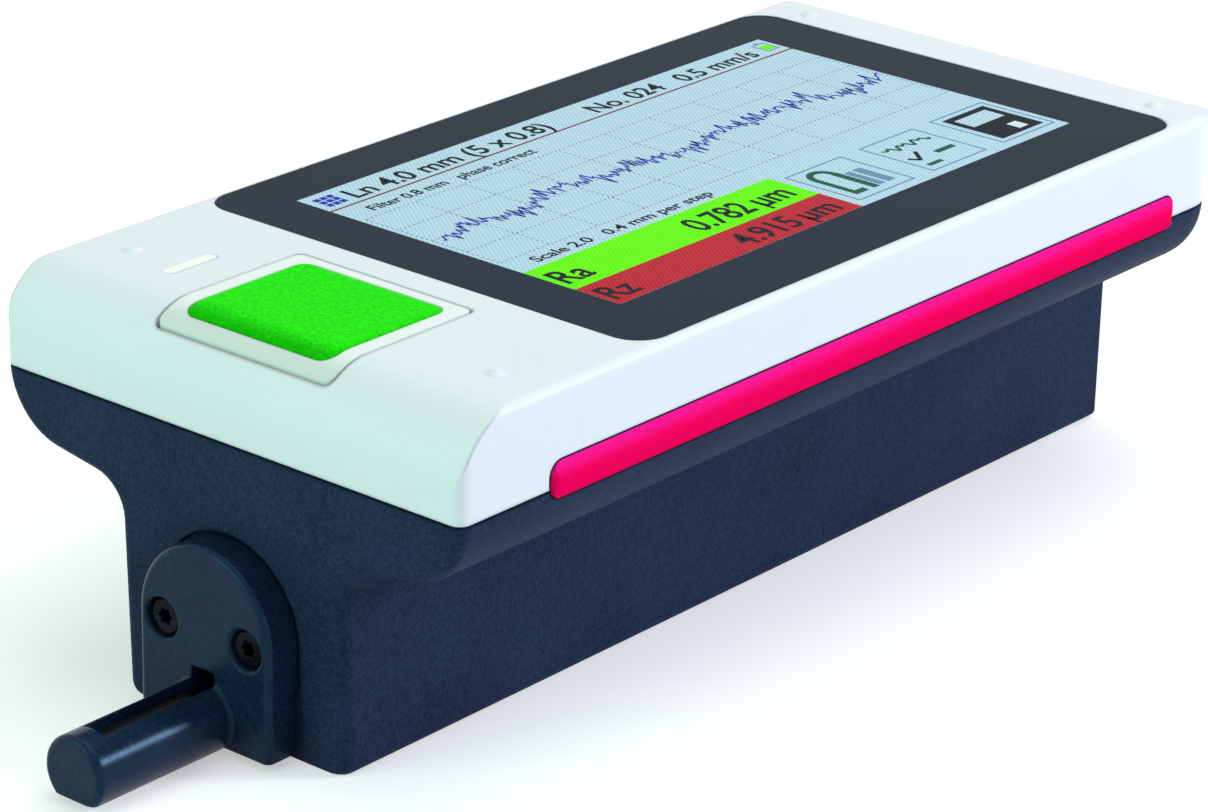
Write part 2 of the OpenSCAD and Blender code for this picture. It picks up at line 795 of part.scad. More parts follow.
// Plate with a tube, turned and milled in one: closed at the end, slotted above and below
module pickup_guard() color("#3c4858") {
    difference() {
        union() {
            translate([0, 0, guard_lift]) linear_extrude(guard_round_z - guard_lift) difference() {
                translate([-guard_r, guard_y0]) square([guard_w, guard_t]);
                for (sx = [0, 1]) mirror([sx, 0])
                    translate([guard_r, guard_y0]) mirror([0, 1]) corner_cut(guard_edge_r);
            }
            translate([0, box_front, guard_round_z]) rotate([90, 0, 0]) rotate_extrude() difference() {
                square([guard_r, guard_t]);
                translate([guard_r, guard_t]) corner_cut(guard_edge_r);
            }
            translate([0, guard_y0 + past, tube_z]) rotate([90, 0, 0]) rotate_extrude() difference() {
                square([tube_d / 2, tube_l + past]);
                translate([tube_d / 2, tube_l + past]) corner_cut(tube_end_r);
            }
        }
        translate([-guard_w, tube_y0 - past, -guard_w])
            cube([2 * guard_w, tube_l + guard_t + 2 * past, guard_w + guard_lift]);
        bar(tube_bore, slot_y0, box_front + past, z = tube_z);
        translate([-slot_w / 2, slot_y0, tube_z]) cube([slot_w, box_front + past - slot_y0, slot_top - tube_z]);
        translate([-foot_slot_w / 2, slot_y0, 0]) cube([foot_slot_w, box_front + past - slot_y0, tube_z]);
        guard_screw_places() translate([0, guard_y0, 0]) rotate([-90, 0, 0]) {
            translate([0, 0, -past]) cylinder(d = guard_counterbore, h = guard_sink + past);
            cylinder(d1 = guard_counterbore + 2 * guard_sink_chamfer, d2 = guard_counterbore,
                h = guard_sink_chamfer);
            cylinder(d = guard_screw_d + 2 * slip, h = guard_t + past);
        }
        for (sx = [-1, 1]) translate([sx * guard_r, box_front, guard_lift])
            cube([2 * rebate_t, 2 * rebate_l, 2 * rebate_h], center = true);
    }
}

// Cap screws through the guard into the drive frame
module guard_screws() color("#1d2024") {
    seat_y = guard_y0 + guard_sink;
    guard_screw_places() translate([0, seat_y, 0]) rotate([90, 0, 0])
        cap_screw(guard_screw_d, plate_back - past - seat_y, guard_head_d, guard_head_h);
}

// Screws up through the flange into the upper shell
module case_screws() color("#7d848c") {
    case_screw_places() translate([0, 0, under_z + screw_sink]) mirror([0, 0, 1])
        cap_screw(screw_d, case_screw_l, head_d, head_h);
}

// Electronics

// Main board with its larger parts, on posts in the lower shell
module main_board() color("#1f5a3a") {
    difference() {
        translate([-board_w / 2, -board_l / 2, board_z]) cube([board_w, board_l, board_t]);
        board_screw_places() cylinder(d = screw_d + 2 * slip, h = body_h);
    }
    // Each chip's place as a share of the board, and its size
    chip_h = 1.2;
    for (chip = [[0, -0.11, 14], [-0.25, 0.1, 9], [0.23, 0.14, 7], [0, 0.29, 10]])
        translate([chip[0] * board_w - chip[2] / 2, chip[1] * board_l - chip[2] / 2, board_top])
            cube([chip[2], chip[2], chip_h]);
    lamp = 0.9;
    translate([-light_x - lamp, front_y + light_front + light_l / 2 - lamp, board_top])
        cube([2 * lamp, 2 * lamp, lamp]);
}

module board_screws() color("#a3a8ad") {
    board_screw_places() translate([0, 0, board_top])
        cap_screw(screw_d, board_screw_l - past, head_d, head_h);
}

// Data socket of drawn sheet metal, open to the rear
module data_socket() color("#b9bec4") {
    sheet = 0.35;
    mouth_y = rear_y - wall / 4;
    difference() {
        translate([data_x - data_w / 2, mouth_y - data_l, board_top]) cube([data_w, data_l, data_h]);
        translate([data_x - data_w / 2 + sheet, mouth_y - data_l + sheet, board_top + sheet])
            cube([data_w - 2 * sheet, data_l, data_h - 2 * sheet]);
    }
    tongue_inset = 0.8;
    tongue_w = data_w - 2 * tongue_inset;
    translate([data_x - tongue_w / 2, mouth_y - data_l + sheet / 2, board_top + data_h / 2 - sheet])
        cube([tongue_w, data_l * 0.7, 2 * sheet]);
}

// Memory card socket, behind its slot in the rear wall
module card_socket() color("#aab0b6") {
    sheet = 0.3;
    mouth_y = rear_y - wall - slip;
    difference() {
        translate([card_x - card_w / 2, mouth_y - card_l, board_top]) cube([card_w, card_l, card_h]);
        translate([card_x - card_w / 2 + past, mouth_y - card_l + past, board_top + sheet])
            cube([card_w - 2 * past, card_l, card_h - 2 * sheet]);
    }
}

// Battery pack in the rear of the drive box
module battery_pack() color("#3b5fa0") {
    edge = 2;
    w = 2 * half_frame;
    along_y(motor_end + battery_gap, rear_y - wall - slip) rounded(-w / 2, wall, w, battery_h, edge);
}

// Traverse drive

// Drive frame: three upright plates under one bridge, cast in one piece
module drive_frame() color("#8d939b") {
    height = bridge_z + bridge_t - wall;
    difference() {
        union() {
            translate([-half_frame, plate_y, wall]) cube([2 * half_frame, plate_t, height]);
            translate([-half_frame, rear_plate_y, wall]) cube([2 * half_frame, plate_t, height]);
            translate([-half_frame, motor_plate_y, wall]) cube([2 * half_frame, motor_plate_t, height]);
            translate([-half_frame, plate_y, bridge_z]) cube([2 * half_frame, motor_y - plate_y, bridge_t]);
        }
        bar(tube_bore, plate_y - past, plate_back + past, z = tube_z);
        translate([-tube_bore / 2, plate_y - past, 0]) cube([tube_bore, plate_t + 2 * past, tube_z]);
        guard_screw_places() translate([0, plate_back + past, 0]) rotate([90, 0, 0])
            cylinder(d = guard_screw_d + 2 * fit, h = plate_t + 2 * past);
        for (sx = [-1, 1])
            bar(rod_d + 2 * fit, plate_back - rod_seat, rear_plate_y + rod_seat, x = sx * rod_x);
        bar(bearing_d + 2 * fit, plate_back - bearing_t, rear_plate_y + bearing_t);
        bar(journal_d + 2 * slip, plate_y - past, motor_y);
        bar(coupling_d, motor_plate_y - past, motor_y + past);
        for (sx = [-1, 1])
            bar(motor_screw_d + 2 * slip, motor_plate_y - past, motor_y + past, x = sx * motor_screw_x);
        translate([0, (rear_plate_y + plate_back) / 2, 0])
            linear_extrude(body_h) window_plan(half_frame, (rear_plate_y - plate_back) / 4);
    }
}

// Lightening window in the bridge
module window_plan(w, l) {
    corner = 3;
    rounded(-w / 2, -l, w, 2 * l, corner);
}

module guide_rod(x) color("#c9ced3") {
    chamfer = 0.3;
    y0 = plate_back - rod_seat;
    y1 = rear_plate_y + rod_seat;
    translate([x, y1, drive_z]) rotate([90, 0, 0]) rotate_extrude() polygon([
        [0, 0], [rod_d / 2 - chamfer, 0], [rod_d / 2, chamfer], [rod_d / 2, y1 - y0 - chamfer],
        [rod_d / 2 - chamfer, y1 - y0], [0, y1 - y0]]);
}

module guide_rod_left() { guide_rod(-rod_x); }

module guide_rod_right() { guide_rod(rod_x); }

// Ball bearing as a ring with the grooves beside its shields
module screw_bearing(y) color("#b4babf") {
    groove = 0.2;
    shield_w = 1.4;
    mid_d = (bearing_d + journal_d) / 2;
    difference() {
        bar(bearing_d, y, y + bearing_t);
        bar(journal_d + 2 * fit, y - past, y + bearing_t + past);
        for (face = [y - past, y + bearing_t - groove]) difference() {
            bar(mid_d + shield_w, face, face + past + groove);
            bar(mid_d - shield_w, face - past, face + 2 * past);
        }
    }
}

module front_bearing() { screw_bearing(plate_back - bearing_t); }

module rear_bearing() { screw_bearing(rear_plate_y); }

// Lead screw as a plain bar at its outer diameter, on two journals
module lead_screw() color("#c3c8cc") {
    bar(lead_d, plate_back + slip, rear_plate_y - slip);
    bar(journal_d, plate_back - bearing_t, plate_back + past);
    bar(journal_d, rear_plate_y - past, coupling_y + coupling_l * 0.45);
}

// Clamp coupling with relief grooves
module shaft_coupling() color("#9aa4b8") {
    groove_w = 0.7;
    groove_d = 1;
    bore_gap = 0.3;
    middle = coupling_y + coupling_l / 2;
    difference() {
        bar(coupling_d - 2 * bore_gap, coupling_y, coupling_y + coupling_l);
        bar(journal_d + 2 * fit, coupling_y - past, middle);
        bar(shaft_d + 2 * fit, middle - past, coupling_y + coupling_l + past);
        for (i = [-1:1]) difference() {
            bar(coupling_d, middle + (2 * i - 0.5) * groove_w, middle + (2 * i + 0.5) * groove_w);
            bar(coupling_d - 2 * groove_d, middle - coupling_l / 2, middle + coupling_l / 2);
        }
    }
}

module motor_shaft() color("#c3c8cc") {
    bar(shaft_d, coupling_y + coupling_l * 0.55, motor_y);
}

// Gear head and motor in line, with a rear end cap and two terminals
module gear_motor() color("#a8adb3") {
    can_y = motor_y + gearhead_l;
    terminal = 0.8;
    difference() {
        bar(motor_d, motor_y, can_y);
        for (sx = [-1, 1])
            bar(motor_screw_d + 2 * fit, motor_y - past, motor_y + rod_seat, x = sx * motor_screw_x);
    }
    bar(motor_d - past, can_y, can_y + motor_l);
    bar(motor_d / 2, can_y + motor_l, motor_end);
    for (sx = [-1, 1]) translate([sx * motor_d / 3, motor_end - motor_cap_l / 2, drive_z])
        cube([terminal, motor_cap_l, 2 * terminal], center = true);
}

module motor_screws() color("#7d848c") {
    for (sx = [-1, 1]) translate([sx * motor_screw_x, motor_plate_y, drive_z]) rotate([90, 0, 0])
        cap_screw(motor_screw_d, motor_plate_t + rod_seat - past, motor_head_d, motor_head_h);
}

// Home switch under the bridge, at the front end of the stroke
module home_switch() color("#22262b") {
    w = 6;
    nib = 0.4;
    h = bridge_lift - lead_d / 2 - nib;
    translate([-w / 2, plate_back, bridge_z - h]) cube([w, switch_l, h]);
    bar(2 * nib, plate_back + switch_l - past, plate_back + switch_l + nib, z = bridge_z - h / 2);
}

// Carriage: three bored lobes joined by a web, milled from one bar
module carriage() color("#8a8f98") {
    hub_wide = nut_d + 2 * carriage_wall;
    web_h = 6;
    difference() {
        union() {
            for (sx = [-1, 1]) bar(lobe_d, carriage_y0, carriage_y1, x = sx * rod_x);
            bar(hub_wide, carriage_y0, carriage_y1);
            translate([-rod_x, carriage_y0, drive_z - web_h / 2]) cube([2 * rod_x, carriage_l, web_h]);
            translate([-holder_w / 2, carriage_y0, drive_z - hub_wide / 2 - past])
                cube([holder_w, carriage_l, hub_wide / 2]);
        }
        for (sx = [-1, 1]) bar(bush_d + 2 * fit, carriage_y0 - past, carriage_y1 + past, x = sx * rod_x);
        bar(nut_d + 2 * fit, carriage_y0 - past, carriage_y1 + past);
    }
}

// Sintered bushes, one at each end of the carriage's two rod bores
module guide_bushes() color("#a8813f") {
    for (sx = [-1, 1], y = [carriage_y0, carriage_y1 - bush_l]) difference() {
        bar(bush_d, y, y + bush_l, x = sx * rod_x);
        bar(rod_d + 2 * run, y - past, y + bush_l + past, x = sx * rod_x);
    }
}

// Bronze nut along the whole carriage
module lead_nut() color("#b08d4a") {
    difference() {
        bar(nut_d, carriage_y0, carriage_y1);
        bar(lead_d + 2 * run, carriage_y0 - past, carriage_y1 + past);
    }
}

// Holder that hangs under the carriage and takes the pick-up's plug
module pickup_holder() color("#2b2f35") {
    top = drive_z - (nut_d / 2 + carriage_wall) - past;
    difference() {
        translate([-holder_w / 2, carriage_y0, holder_z]) cube([holder_w, holder_l, top - holder_z]);
        bar(plug_d + 2 * fit, carriage_y0 - past, carriage_y0 + plug_l + fit, z = tube_z);
    }
}

// Pick-up: plug, tube and slim nose, hollow round the stylus lever
module pickup_body() color("#24282e") {
    nose_end = nose_y0 + nose_l;
    cap = 0.8;
    lever_room = 2;
    difference() {
        union() {
            bar(plug_d, carriage_y0 - past, carriage_y0 + plug_l, z = tube_z);
            bar(pickup_d, nose_end, carriage_y0, z = tube_z);
            bar(nose_d, nose_y0, nose_end + past, z = tube_z);
        }
        bar(nose_bore, nose_y0 + cap, pivot_y + tail_l + lever_room, z = tube_z);
        translate([-tip_d, tip_y - 1.5 * tip_d, 0]) cube([2 * tip_d, 3 * tip_d, tube_z]);
        cross_bar(pin_d + 2 * fit, 2 * pickup_d, pivot_y, tube_z);
    }
}

// Hard skid that rides on the work just ahead of the tip
module skid() color("#d5d9dd") {
    y1 = tip_y - 1.5 * tip_d;
    length = y1 - nose_y0;
    difference() {
        union() {
            translate([-skid_w / 2, nose_y0, skid_lift + length / 2])
                cube([skid_w, length, tube_z - nose_d / 2]);
            cross_bar(length, skid_w, nose_y0 + length / 2, skid_lift + length / 2);
        }
        bar(nose_d + 2 * fit, nose_y0 - past, y1 + past, z = tube_z);
    }
}

module stylus_pin() color("#c9ced3") {
    cross_bar(pin_d, pickup_d - 2 * fit, pivot_y, tube_z);
}

// Stylus lever on its hub, with a short tail behind the pivot
module stylus_lever() color("#b9bec4") {
    hub_w = 1.4;
    difference() {
        union() {
            cross_bar(hub_d, hub_w, pivot_y, tube_z);
            bar(lever_d, tip_y - lever_d / 2, pivot_y + tail_l, z = tube_z);
        }
        cross_bar(pin_d + 2 * fit, 2 * hub_w, pivot_y, tube_z);
        translate([0, tip_y, 0]) cylinder(d = tip_d + 2 * fit, h = tube_z);
    }
}

// Diamond-tipped needle set into the lever
module stylus_tip() color("#6f757c") {
    point_h = 0.6;
    translate([0, tip_y, 0]) rotate_extrude() polygon([
        [0, tip_z], [tip_d / 2, tip_z + point_h], [tip_d / 2, tube_z], [0, tube_z]]);
}

lower_shell();
upper_shell();
side_strip_left();
side_strip_right();
cover_glass();
display_panel();
start_key();
key_pad();
key_dome();
status_light();
pickup_guard();
guard_screws();
case_screws();
main_board();
board_screws();
data_socket();
card_socket();
battery_pack();
drive_frame();
guide_rod_left();
guide_rod_right();
front_bearing();
rear_bearing();
lead_screw();
shaft_coupling();
gear_motor();
motor_shaft();
motor_screws();
home_switch();
carriage();
guide_bushes();
lead_nut();
pickup_holder();
pickup_body();
skid();
stylus_pin();
stylus_lever();
stylus_tip();
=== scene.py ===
import bmesh
import bpy
import numpy as np
from mathutils import Matrix, Vector


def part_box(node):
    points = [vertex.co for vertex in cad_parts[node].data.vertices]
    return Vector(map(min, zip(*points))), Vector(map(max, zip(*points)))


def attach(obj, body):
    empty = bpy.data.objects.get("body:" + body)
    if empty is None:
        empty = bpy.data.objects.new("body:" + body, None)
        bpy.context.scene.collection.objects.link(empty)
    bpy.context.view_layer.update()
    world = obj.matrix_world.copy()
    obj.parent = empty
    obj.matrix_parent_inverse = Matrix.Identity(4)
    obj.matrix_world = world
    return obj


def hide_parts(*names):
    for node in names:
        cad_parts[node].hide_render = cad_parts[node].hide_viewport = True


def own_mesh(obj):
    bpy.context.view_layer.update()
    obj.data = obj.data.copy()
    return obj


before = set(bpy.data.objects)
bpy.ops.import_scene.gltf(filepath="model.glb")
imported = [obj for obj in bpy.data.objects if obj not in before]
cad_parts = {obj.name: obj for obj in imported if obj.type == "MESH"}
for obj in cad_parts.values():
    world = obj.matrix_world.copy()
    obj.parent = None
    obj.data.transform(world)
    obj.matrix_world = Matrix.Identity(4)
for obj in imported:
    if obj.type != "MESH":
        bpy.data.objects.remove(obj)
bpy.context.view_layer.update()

# Camera
# A long lens in front of the right-hand corner and a little above the deck. Its three axes and its
# place were solved from the straight edges of the housing, so it is a plain look at the object.
MM = 0.001
camera_place = Vector((353.98, -435.34, 247.79)) * MM
camera_right = Vector((0.7640, 0.6449, 0.0218))
camera_up = Vector((-0.2581, 0.2745, 0.9263))
camera_back = Vector((0.5914, -0.7133, 0.3761))
lens = bpy.data.cameras.new("photo_camera")
lens.sensor_fit = "HORIZONTAL"
lens.sensor_width = 36
lens.lens = 136.07
lens.clip_start = 0.01
camera = bpy.data.objects.new("photo_camera", lens)
turn = Matrix((camera_right, camera_up, camera_back)).transposed().to_4x4()
camera.matrix_world = Matrix.Translation(camera_place) @ turn
bpy.context.collection.objects.link(camera)
bpy.context.scene.camera = camera
bpy.context.scene.view_settings.view_transform = "Standard"

# Floor and light
# A wide white table top in a bright room, and four soft lamps: one above, two bluish ones on the right
# that streak the round edges, and a greenish one in front.


def add_node(tree, kind, inputs=(), **settings):
    """One shader node. Settings are its properties, and inputs its sockets by name or number, each
    a plain value or another node's output."""
    made = tree.nodes.new("ShaderNode" + kind)
    for name, value in settings.items():
        setattr(made, name, value)
    for name, value in dict(inputs).items():
        if isinstance(value, bpy.types.NodeSocket):
            tree.links.new(value, made.inputs[name])
        else:
            made.inputs[name].default_value = value
    return made


def rays_that_see(tree):
    """One for the rays that look at the background, straight, in a reflection or through glass, and
    nothing for the rays that carry its light."""
    ray = add_node(tree, "LightPath")
    mirror = add_node(tree, "Math", {
        0: ray.outputs["Is Glossy Ray"], 1: ray.outputs["Is Transmission Ray"]}, operation="MAXIMUM")
    seen = add_node(tree, "Math", {
        0: ray.outputs["Is Camera Ray"], 1: mirror.outputs[0]}, operation="MAXIMUM")
    return seen.outputs[0]


def bare_tree(holder):
    """Switches a material or a world to shader nodes, and returns its tree with nothing in it."""
    holder.use_nodes = True
    holder.node_tree.nodes.clear()
    return holder.node_tree


def between(tree, value, dark, light):
    """A colour between two shades, for a value from nothing to one."""
    made = add_node(tree, "ValToRGB", {"Fac": value})
    for stop, colour in zip(made.color_ramp.elements, (dark, light)):
        stop.color = (*colour, 1)
    return made.outputs["Color"]


def cells(rows, columns, around=False):
    """The corners of each cell in a grid of numbered points. Around joins the last column to the
    first."""
    index = np.arange(rows * columns).reshape(rows, columns)
    if around:
        index = np.concatenate([index, index[:, :1]], 1)
    corners = np.stack([index[:-1, :-1], index[:-1, 1:], index[1:, 1:], index[1:, :-1]], -1)
    return corners.reshape(-1, 4)


def grid_mesh(name, points, around=False, capped=False):
    """A mesh from an array of points in millimetres, rows by columns by three. Each cell becomes a
    quad, and capped closes the first and the last row with a flat face each."""
    rows, columns = points.shape[:2]
    faces = cells(rows, columns, around).tolist()
    if capped:
        first, last = range(columns), range((rows - 1) * columns, rows * columns)
        faces += [list(reversed(first)), list(last)]
    mesh = bpy.data.meshes.new(name)
    mesh.from_pydata((points.reshape(-1, 3) * MM).tolist(), [], faces)
    mesh.update()
    return mesh


floor_half = 3000
floor_drop = -0.05
floor_x, floor_y = np.meshgrid([-floor_half, floor_half], [-floor_half, floor_half])
floor_points = np.stack([floor_x, floor_y, np.full(floor_x.shape, floor_drop)], -1)
floor = bpy.data.objects.new("floor", grid_mesh("floor", floor_points))
bpy.context.collection.objects.link(floor)
floor_paint = bpy.data.materials.new("floor_paint")
tree = bare_tree(floor_paint)
floor_glow = 0.45
glow_level = add_node(tree, "Math", {0: rays_that_see(tree), 1: floor_glow}, operation="MULTIPLY")
speck = add_node(tree, "TexNoise", {"Scale": 40.0})
paint = between(tree, speck.outputs["Fac"], (0.78, 0.79, 0.80), (0.82, 0.83, 0.84))
matt = add_node(tree, "BsdfDiffuse", {"Color": paint})
glow = add_node(tree, "Emission", {"Color": (1, 1, 1, 1), "Strength": glow_level.outputs[0]})
both = add_node(tree, "AddShader", {0: matt.outputs[0], 1: glow.outputs[0]})
add_node(tree, "OutputMaterial", {"Surface": both.outputs[0]})
floor.data.materials.append(floor_paint)

room = bpy.data.worlds.new("room")
tree = bare_tree(room)
room_light = 0.36
room_level = add_node(tree, "MapRange", {
    "Value": rays_that_see(tree), "To Min": room_light, "To Max": 1.0})
air = add_node(tree, "Background", {"Color": (1, 1, 1, 1), "Strength": room_level.outputs[0]})
add_node(tree, "OutputWorld", {"Surface": air.outputs[0]})
bpy.context.scene.world = room


def soft_lamp(name, place, size, power, colour):
    """A square area lamp at a place in metres that looks at the middle of the object."""
    middle = Vector((0, 0, 0.03))
    data = bpy.data.lights.new(name, "AREA")
    data.size = size
    data.energy = power
    data.color = colour
    lamp = bpy.data.objects.new(name, data)
    lamp.location = place
    lamp.rotation_euler = (middle - Vector(place)).to_track_quat("-Z", "Y").to_euler()
    bpy.context.collection.objects.link(lamp)


soft_lamp("lamp_above", (0.1, 0.25, 1.1), 0.9, 4.9, (1.0, 1.0, 0.99))
soft_lamp("lamp_right", (0.82, 0.70, 0.48), 0.2, 7.6, (0.73, 0.82, 0.94))
soft_lamp("lamp_low", (0.95, -0.13, 0.30), 0.28, 1.1, (0.48, 0.64, 1.0))
soft_lamp("lamp_front", (-0.35, -1.1, 0.45), 0.8, 6.8, (0.48, 1.0, 0.78))

# Lower housing
# The dark half of the case: a flange with a rolled edge over the narrow drive box. It is injection
# moulded in a glass-filled plastic with a fine spark-eroded texture, and carries everything else.


def shader_group(name, inputs, outputs):
    """An empty shader node group with named sockets: inputs maps a name to its default number, and
    outputs maps a name to its socket type. Returns the tree, its input node and its output node."""
    tree = bpy.data.node_groups.new(name, "ShaderNodeTree")
    for label, value in inputs.items():
        socket = tree.interface.new_socket(name=label, in_out="INPUT", socket_type="NodeSocketFloat")
        socket.default_value = value
    for label, kind in outputs.items():
        tree.interface.new_socket(name=label, in_out="OUTPUT", socket_type="NodeSocket" + kind)
    return tree, tree.nodes.new("NodeGroupInput"), tree.nodes.new("NodeGroupOutput")


# Moulded skin: a fine grain for the bump, and a slow cloud that lets colour and gloss drift
cloud_share = 0.4
moulded_skin, given, put_out = shader_group(
    "moulded_skin", {"Grain": 3000.0, "Cloud": 60.0}, {"Height": "Float", "Drift": "Float"})
where = add_node(moulded_skin, "TexCoord")
grain = add_node(moulded_skin, "TexNoise", {
    "Vector": where.outputs["Object"], "Scale": given.outputs["Grain"], "Detail": 3.0, "Roughness": 0.6})
cloud = add_node(moulded_skin, "TexNoise", {
    "Vector": where.outputs["Object"], "Scale": given.outputs["Cloud"], "Detail": 4.0})
speckle = add_node(moulded_skin, "Math", {
    0: cloud.outputs["Fac"], 1: cloud_share, 2: grain.outputs["Fac"]}, operation="MULTIPLY_ADD")
drift = add_node(moulded_skin, "MapRange", {
    "Value": speckle.outputs[0], "From Min": 0.45, "From Max": 0.95})
moulded_skin.links.new(grain.outputs["Fac"], put_out.inputs["Height"])
moulded_skin.links.new(drift.outputs[0], put_out.inputs["Drift"])


def drifting(name, group, settings, dark, light, rough, bump, edge, uniform):
    """A material whose colour drifts between two shades and its roughness between two values, after
    the Drift of a node group, with the group's Height as a bump in millimetres. An edge in
    millimetres lets the light turn softly round the sharp edges of a solid. Uniform values are set
    on the shader's own sockets."""
    made = bpy.data.materials.new(name)
    tree = bare_tree(made)
    shader = add_node(tree, "BsdfPrincipled", uniform)
    add_node(tree, "OutputMaterial", {"Surface": shader.outputs[0]})
    skin = add_node(tree, "Group", settings, node_tree=group)
    tint = between(tree, skin.outputs["Drift"], dark, light)
    tree.links.new(tint, shader.inputs["Base Color"])
    gloss = add_node(tree, "MapRange", {
        "Value": skin.outputs["Drift"], "To Min": rough[0], "To Max": rough[1]})
    tree.links.new(gloss.outputs[0], shader.inputs["Roughness"])
    relief = add_node(tree, "Bump", {
        "Height": skin.outputs["Height"], "Strength": 1.0, "Distance": bump * MM})
    if edge:
        soft = add_node(tree, "Bevel", {"Radius": edge * MM}, samples=6)
        tree.links.new(soft.outputs[0], relief.inputs["Normal"])
    tree.links.new(relief.outputs[0], shader.inputs["Normal"])
    return made


def moulded(name, dark, light, rough, grain=3000.0, cloud=60.0, bump=0.006, edge=0, **uniform):
    """A moulded plastic or rubber with the grain of its mould."""
    settings = {"Grain": grain, "Cloud": cloud}
    return drifting(name, moulded_skin, settings, dark, light, rough, bump, edge, uniform)


def finish(material, *names):
    """Gives CAD nodes their finished material."""
    for name in names:
        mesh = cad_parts[name].data
        mesh.materials.clear()
        mesh.materials.append(material)


dark_plastic = moulded(
    "dark_plastic", (0.005, 0.013, 0.030), (0.026, 0.042, 0.094), (0.48, 0.60),
    grain=2000.0, bump=0.10, edge=0.5,
    **{"Specular IOR Level": 0.05, "Specular Tint": (0.5, 0.7, 1.0, 1)})
finish(dark_plastic, "lower_shell")

# Upper housing
# The white half of the case, moulded in one with the rolled front, the seat of the glass and four
# small locating nubs. A satin plastic, screwed on from below.
white_plastic = moulded(
    "white_plastic", (0.785, 0.825, 0.85), (0.82, 0.855, 0.88), (0.34, 0.42),
    grain=3500.0, edge=0.8, **{"Specular IOR Level": 0.3})
finish(white_plastic, "upper_shell")

# Case screws
# Four zinc-plated steel screws with star sockets. They go up through deep bores under the flange and
# hold the two halves of the case together.

# Cut marks: fine lines left by a cutter, from noise stretched by a scale along each axis
cut_marks, given, put_out = shader_group(
    "cut_marks", {"Across": 400.0, "Along": 4000.0, "Up": 400.0}, {"Height": "Float", "Drift": "Float"})
where = add_node(cut_marks, "TexCoord")
scales = add_node(cut_marks, "CombineXYZ", {
    "X": given.outputs["Across"], "Y": given.outputs["Along"], "Z": given.outputs["Up"]})
stretched = add_node(cut_marks, "VectorMath", {
    0: where.outputs["Object"], 1: scales.outputs[0]}, operation="MULTIPLY")
lines = add_node(cut_marks, "TexNoise", {
    "Vector": stretched.outputs[0], "Scale": 1.0, "Detail": 3.0, "Roughness": 0.65})
spread = add_node(cut_marks, "MapRange", {
    "Value": lines.outputs["Fac"], "From Min": 0.3, "From Max": 0.7})
cut_marks.links.new(lines.outputs["Fac"], put_out.inputs["Height"])
cut_marks.links.new(spread.outputs[0], put_out.inputs["Drift"])


def machined(name, dark, light, rough, marks, edge=0, **uniform):
    """A turned, milled or drawn metal with the marks of its making, finest along the axis with the
    highest number."""
    settings = dict(zip(("Across", "Along", "Up"), marks))
    cut_depth = 0.003
    uniform = {"Metallic": 1.0, **uniform}
    return drifting(name, cut_marks, settings, dark, light, rough, cut_depth, edge, uniform)


plated_steel = machined(
    "plated_steel", (0.42, 0.43, 0.44), (0.58, 0.59, 0.60), (0.28, 0.42), marks=(900.0, 900.0, 5000.0))
finish(plated_steel, "case_screws")

# Side strips
# Two long strips of satin red plastic with domed faces, pressed into grooves across the joint. Their
# colour carries a painted highlight, pinker towards the top.

# Grain and painted shading: the grain of the mould, on a painted shade that deepens from a high place
# to a low one, standing in for light on top and shade lower down
grain_and_painted_shading, given, put_out = shader_group(
    "grain_and_painted_shading", {"Grain": 1500.0, "Speckle": 1.0, "Low": 0.0, "High": 1.0},
    {"Height": "Float", "Drift": "Float"})
where = add_node(grain_and_painted_shading, "TexCoord")
grain = add_node(grain_and_painted_shading, "TexNoise", {
    "Vector": where.outputs["Object"], "Scale": given.outputs["Grain"], "Detail": 3.0, "Roughness": 0.6})
split = add_node(grain_and_painted_shading, "SeparateXYZ", {"Vector": where.outputs["Object"]})
# Painted shade: the height of each point sets its colour, lighter high and darker low
shade = add_node(grain_and_painted_shading, "MapRange", {
    "Value": split.outputs["Z"], "From Min": given.outputs["Low"], "From Max": given.outputs["High"],
    "To Min": 0.05, "To Max": 0.60})
uneven = add_node(grain_and_painted_shading, "Math", {0: grain.outputs["Fac"], 1: 0.5}, operation="SUBTRACT")
drift = add_node(grain_and_painted_shading, "Math", {
    0: uneven.outputs[0], 1: given.outputs["Speckle"], 2: shade.outputs[0]}, operation="MULTIPLY_ADD")
grain_and_painted_shading.links.new(grain.outputs["Fac"], put_out.inputs["Height"])
grain_and_painted_shading.links.new(drift.outputs[0], put_out.inputs["Drift"])
# The upper part of each strip is painted pinker towards the top: a painted highlight on the dome
strip_low, strip_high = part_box("side_strip_right")
red_share = 0.58
painted_highlight_from = strip_low.z + red_share * (strip_high.z - strip_low.z)
red_plastic = drifting(
    "red_plastic", grain_and_painted_shading,
    {"Grain": 2500.0, "Speckle": 0.2, "Low": painted_highlight_from, "High": strip_high.z},
    (0.97, 0.001, 0.082), (1.0, 0.020, 0.46), (0.34, 0.42), 0.004, 0.4, {"Specular IOR Level": 0.0})
finish(red_plastic, "side_strip_left", "side_strip_right")


def rounded_loop(x0, x1, y0, y1, r, count):
    """Points round a rectangle with round corners, counter-clockwise: four quarter circles joined by
    straight runs, sampled at equal steps of the way gone round."""
    quarter = np.pi / 2
    angle = np.linspace(0, quarter, 17)[None] + np.arange(4)[:, None] * quarter
    centres = np.array([[x1 - r, y1 - r], [x0 + r, y1 - r], [x0 + r, y0 + r], [x1 - r, y0 + r]])
    bends = centres[:, None] + r * np.stack([np.cos(angle), np.sin(angle)], -1)
    bends = np.concatenate([bends.reshape(-1, 2), bends[0, :1]])
    gone = np.concatenate([[0], np.cumsum(np.linalg.norm(np.diff(bends, axis=0), axis=1))])
    steps = np.linspace(0, gone[-1], count, endpoint=False)
    return np.stack([np.interp(steps, gone, bends[:, side]) for side in (0, 1)], -1)


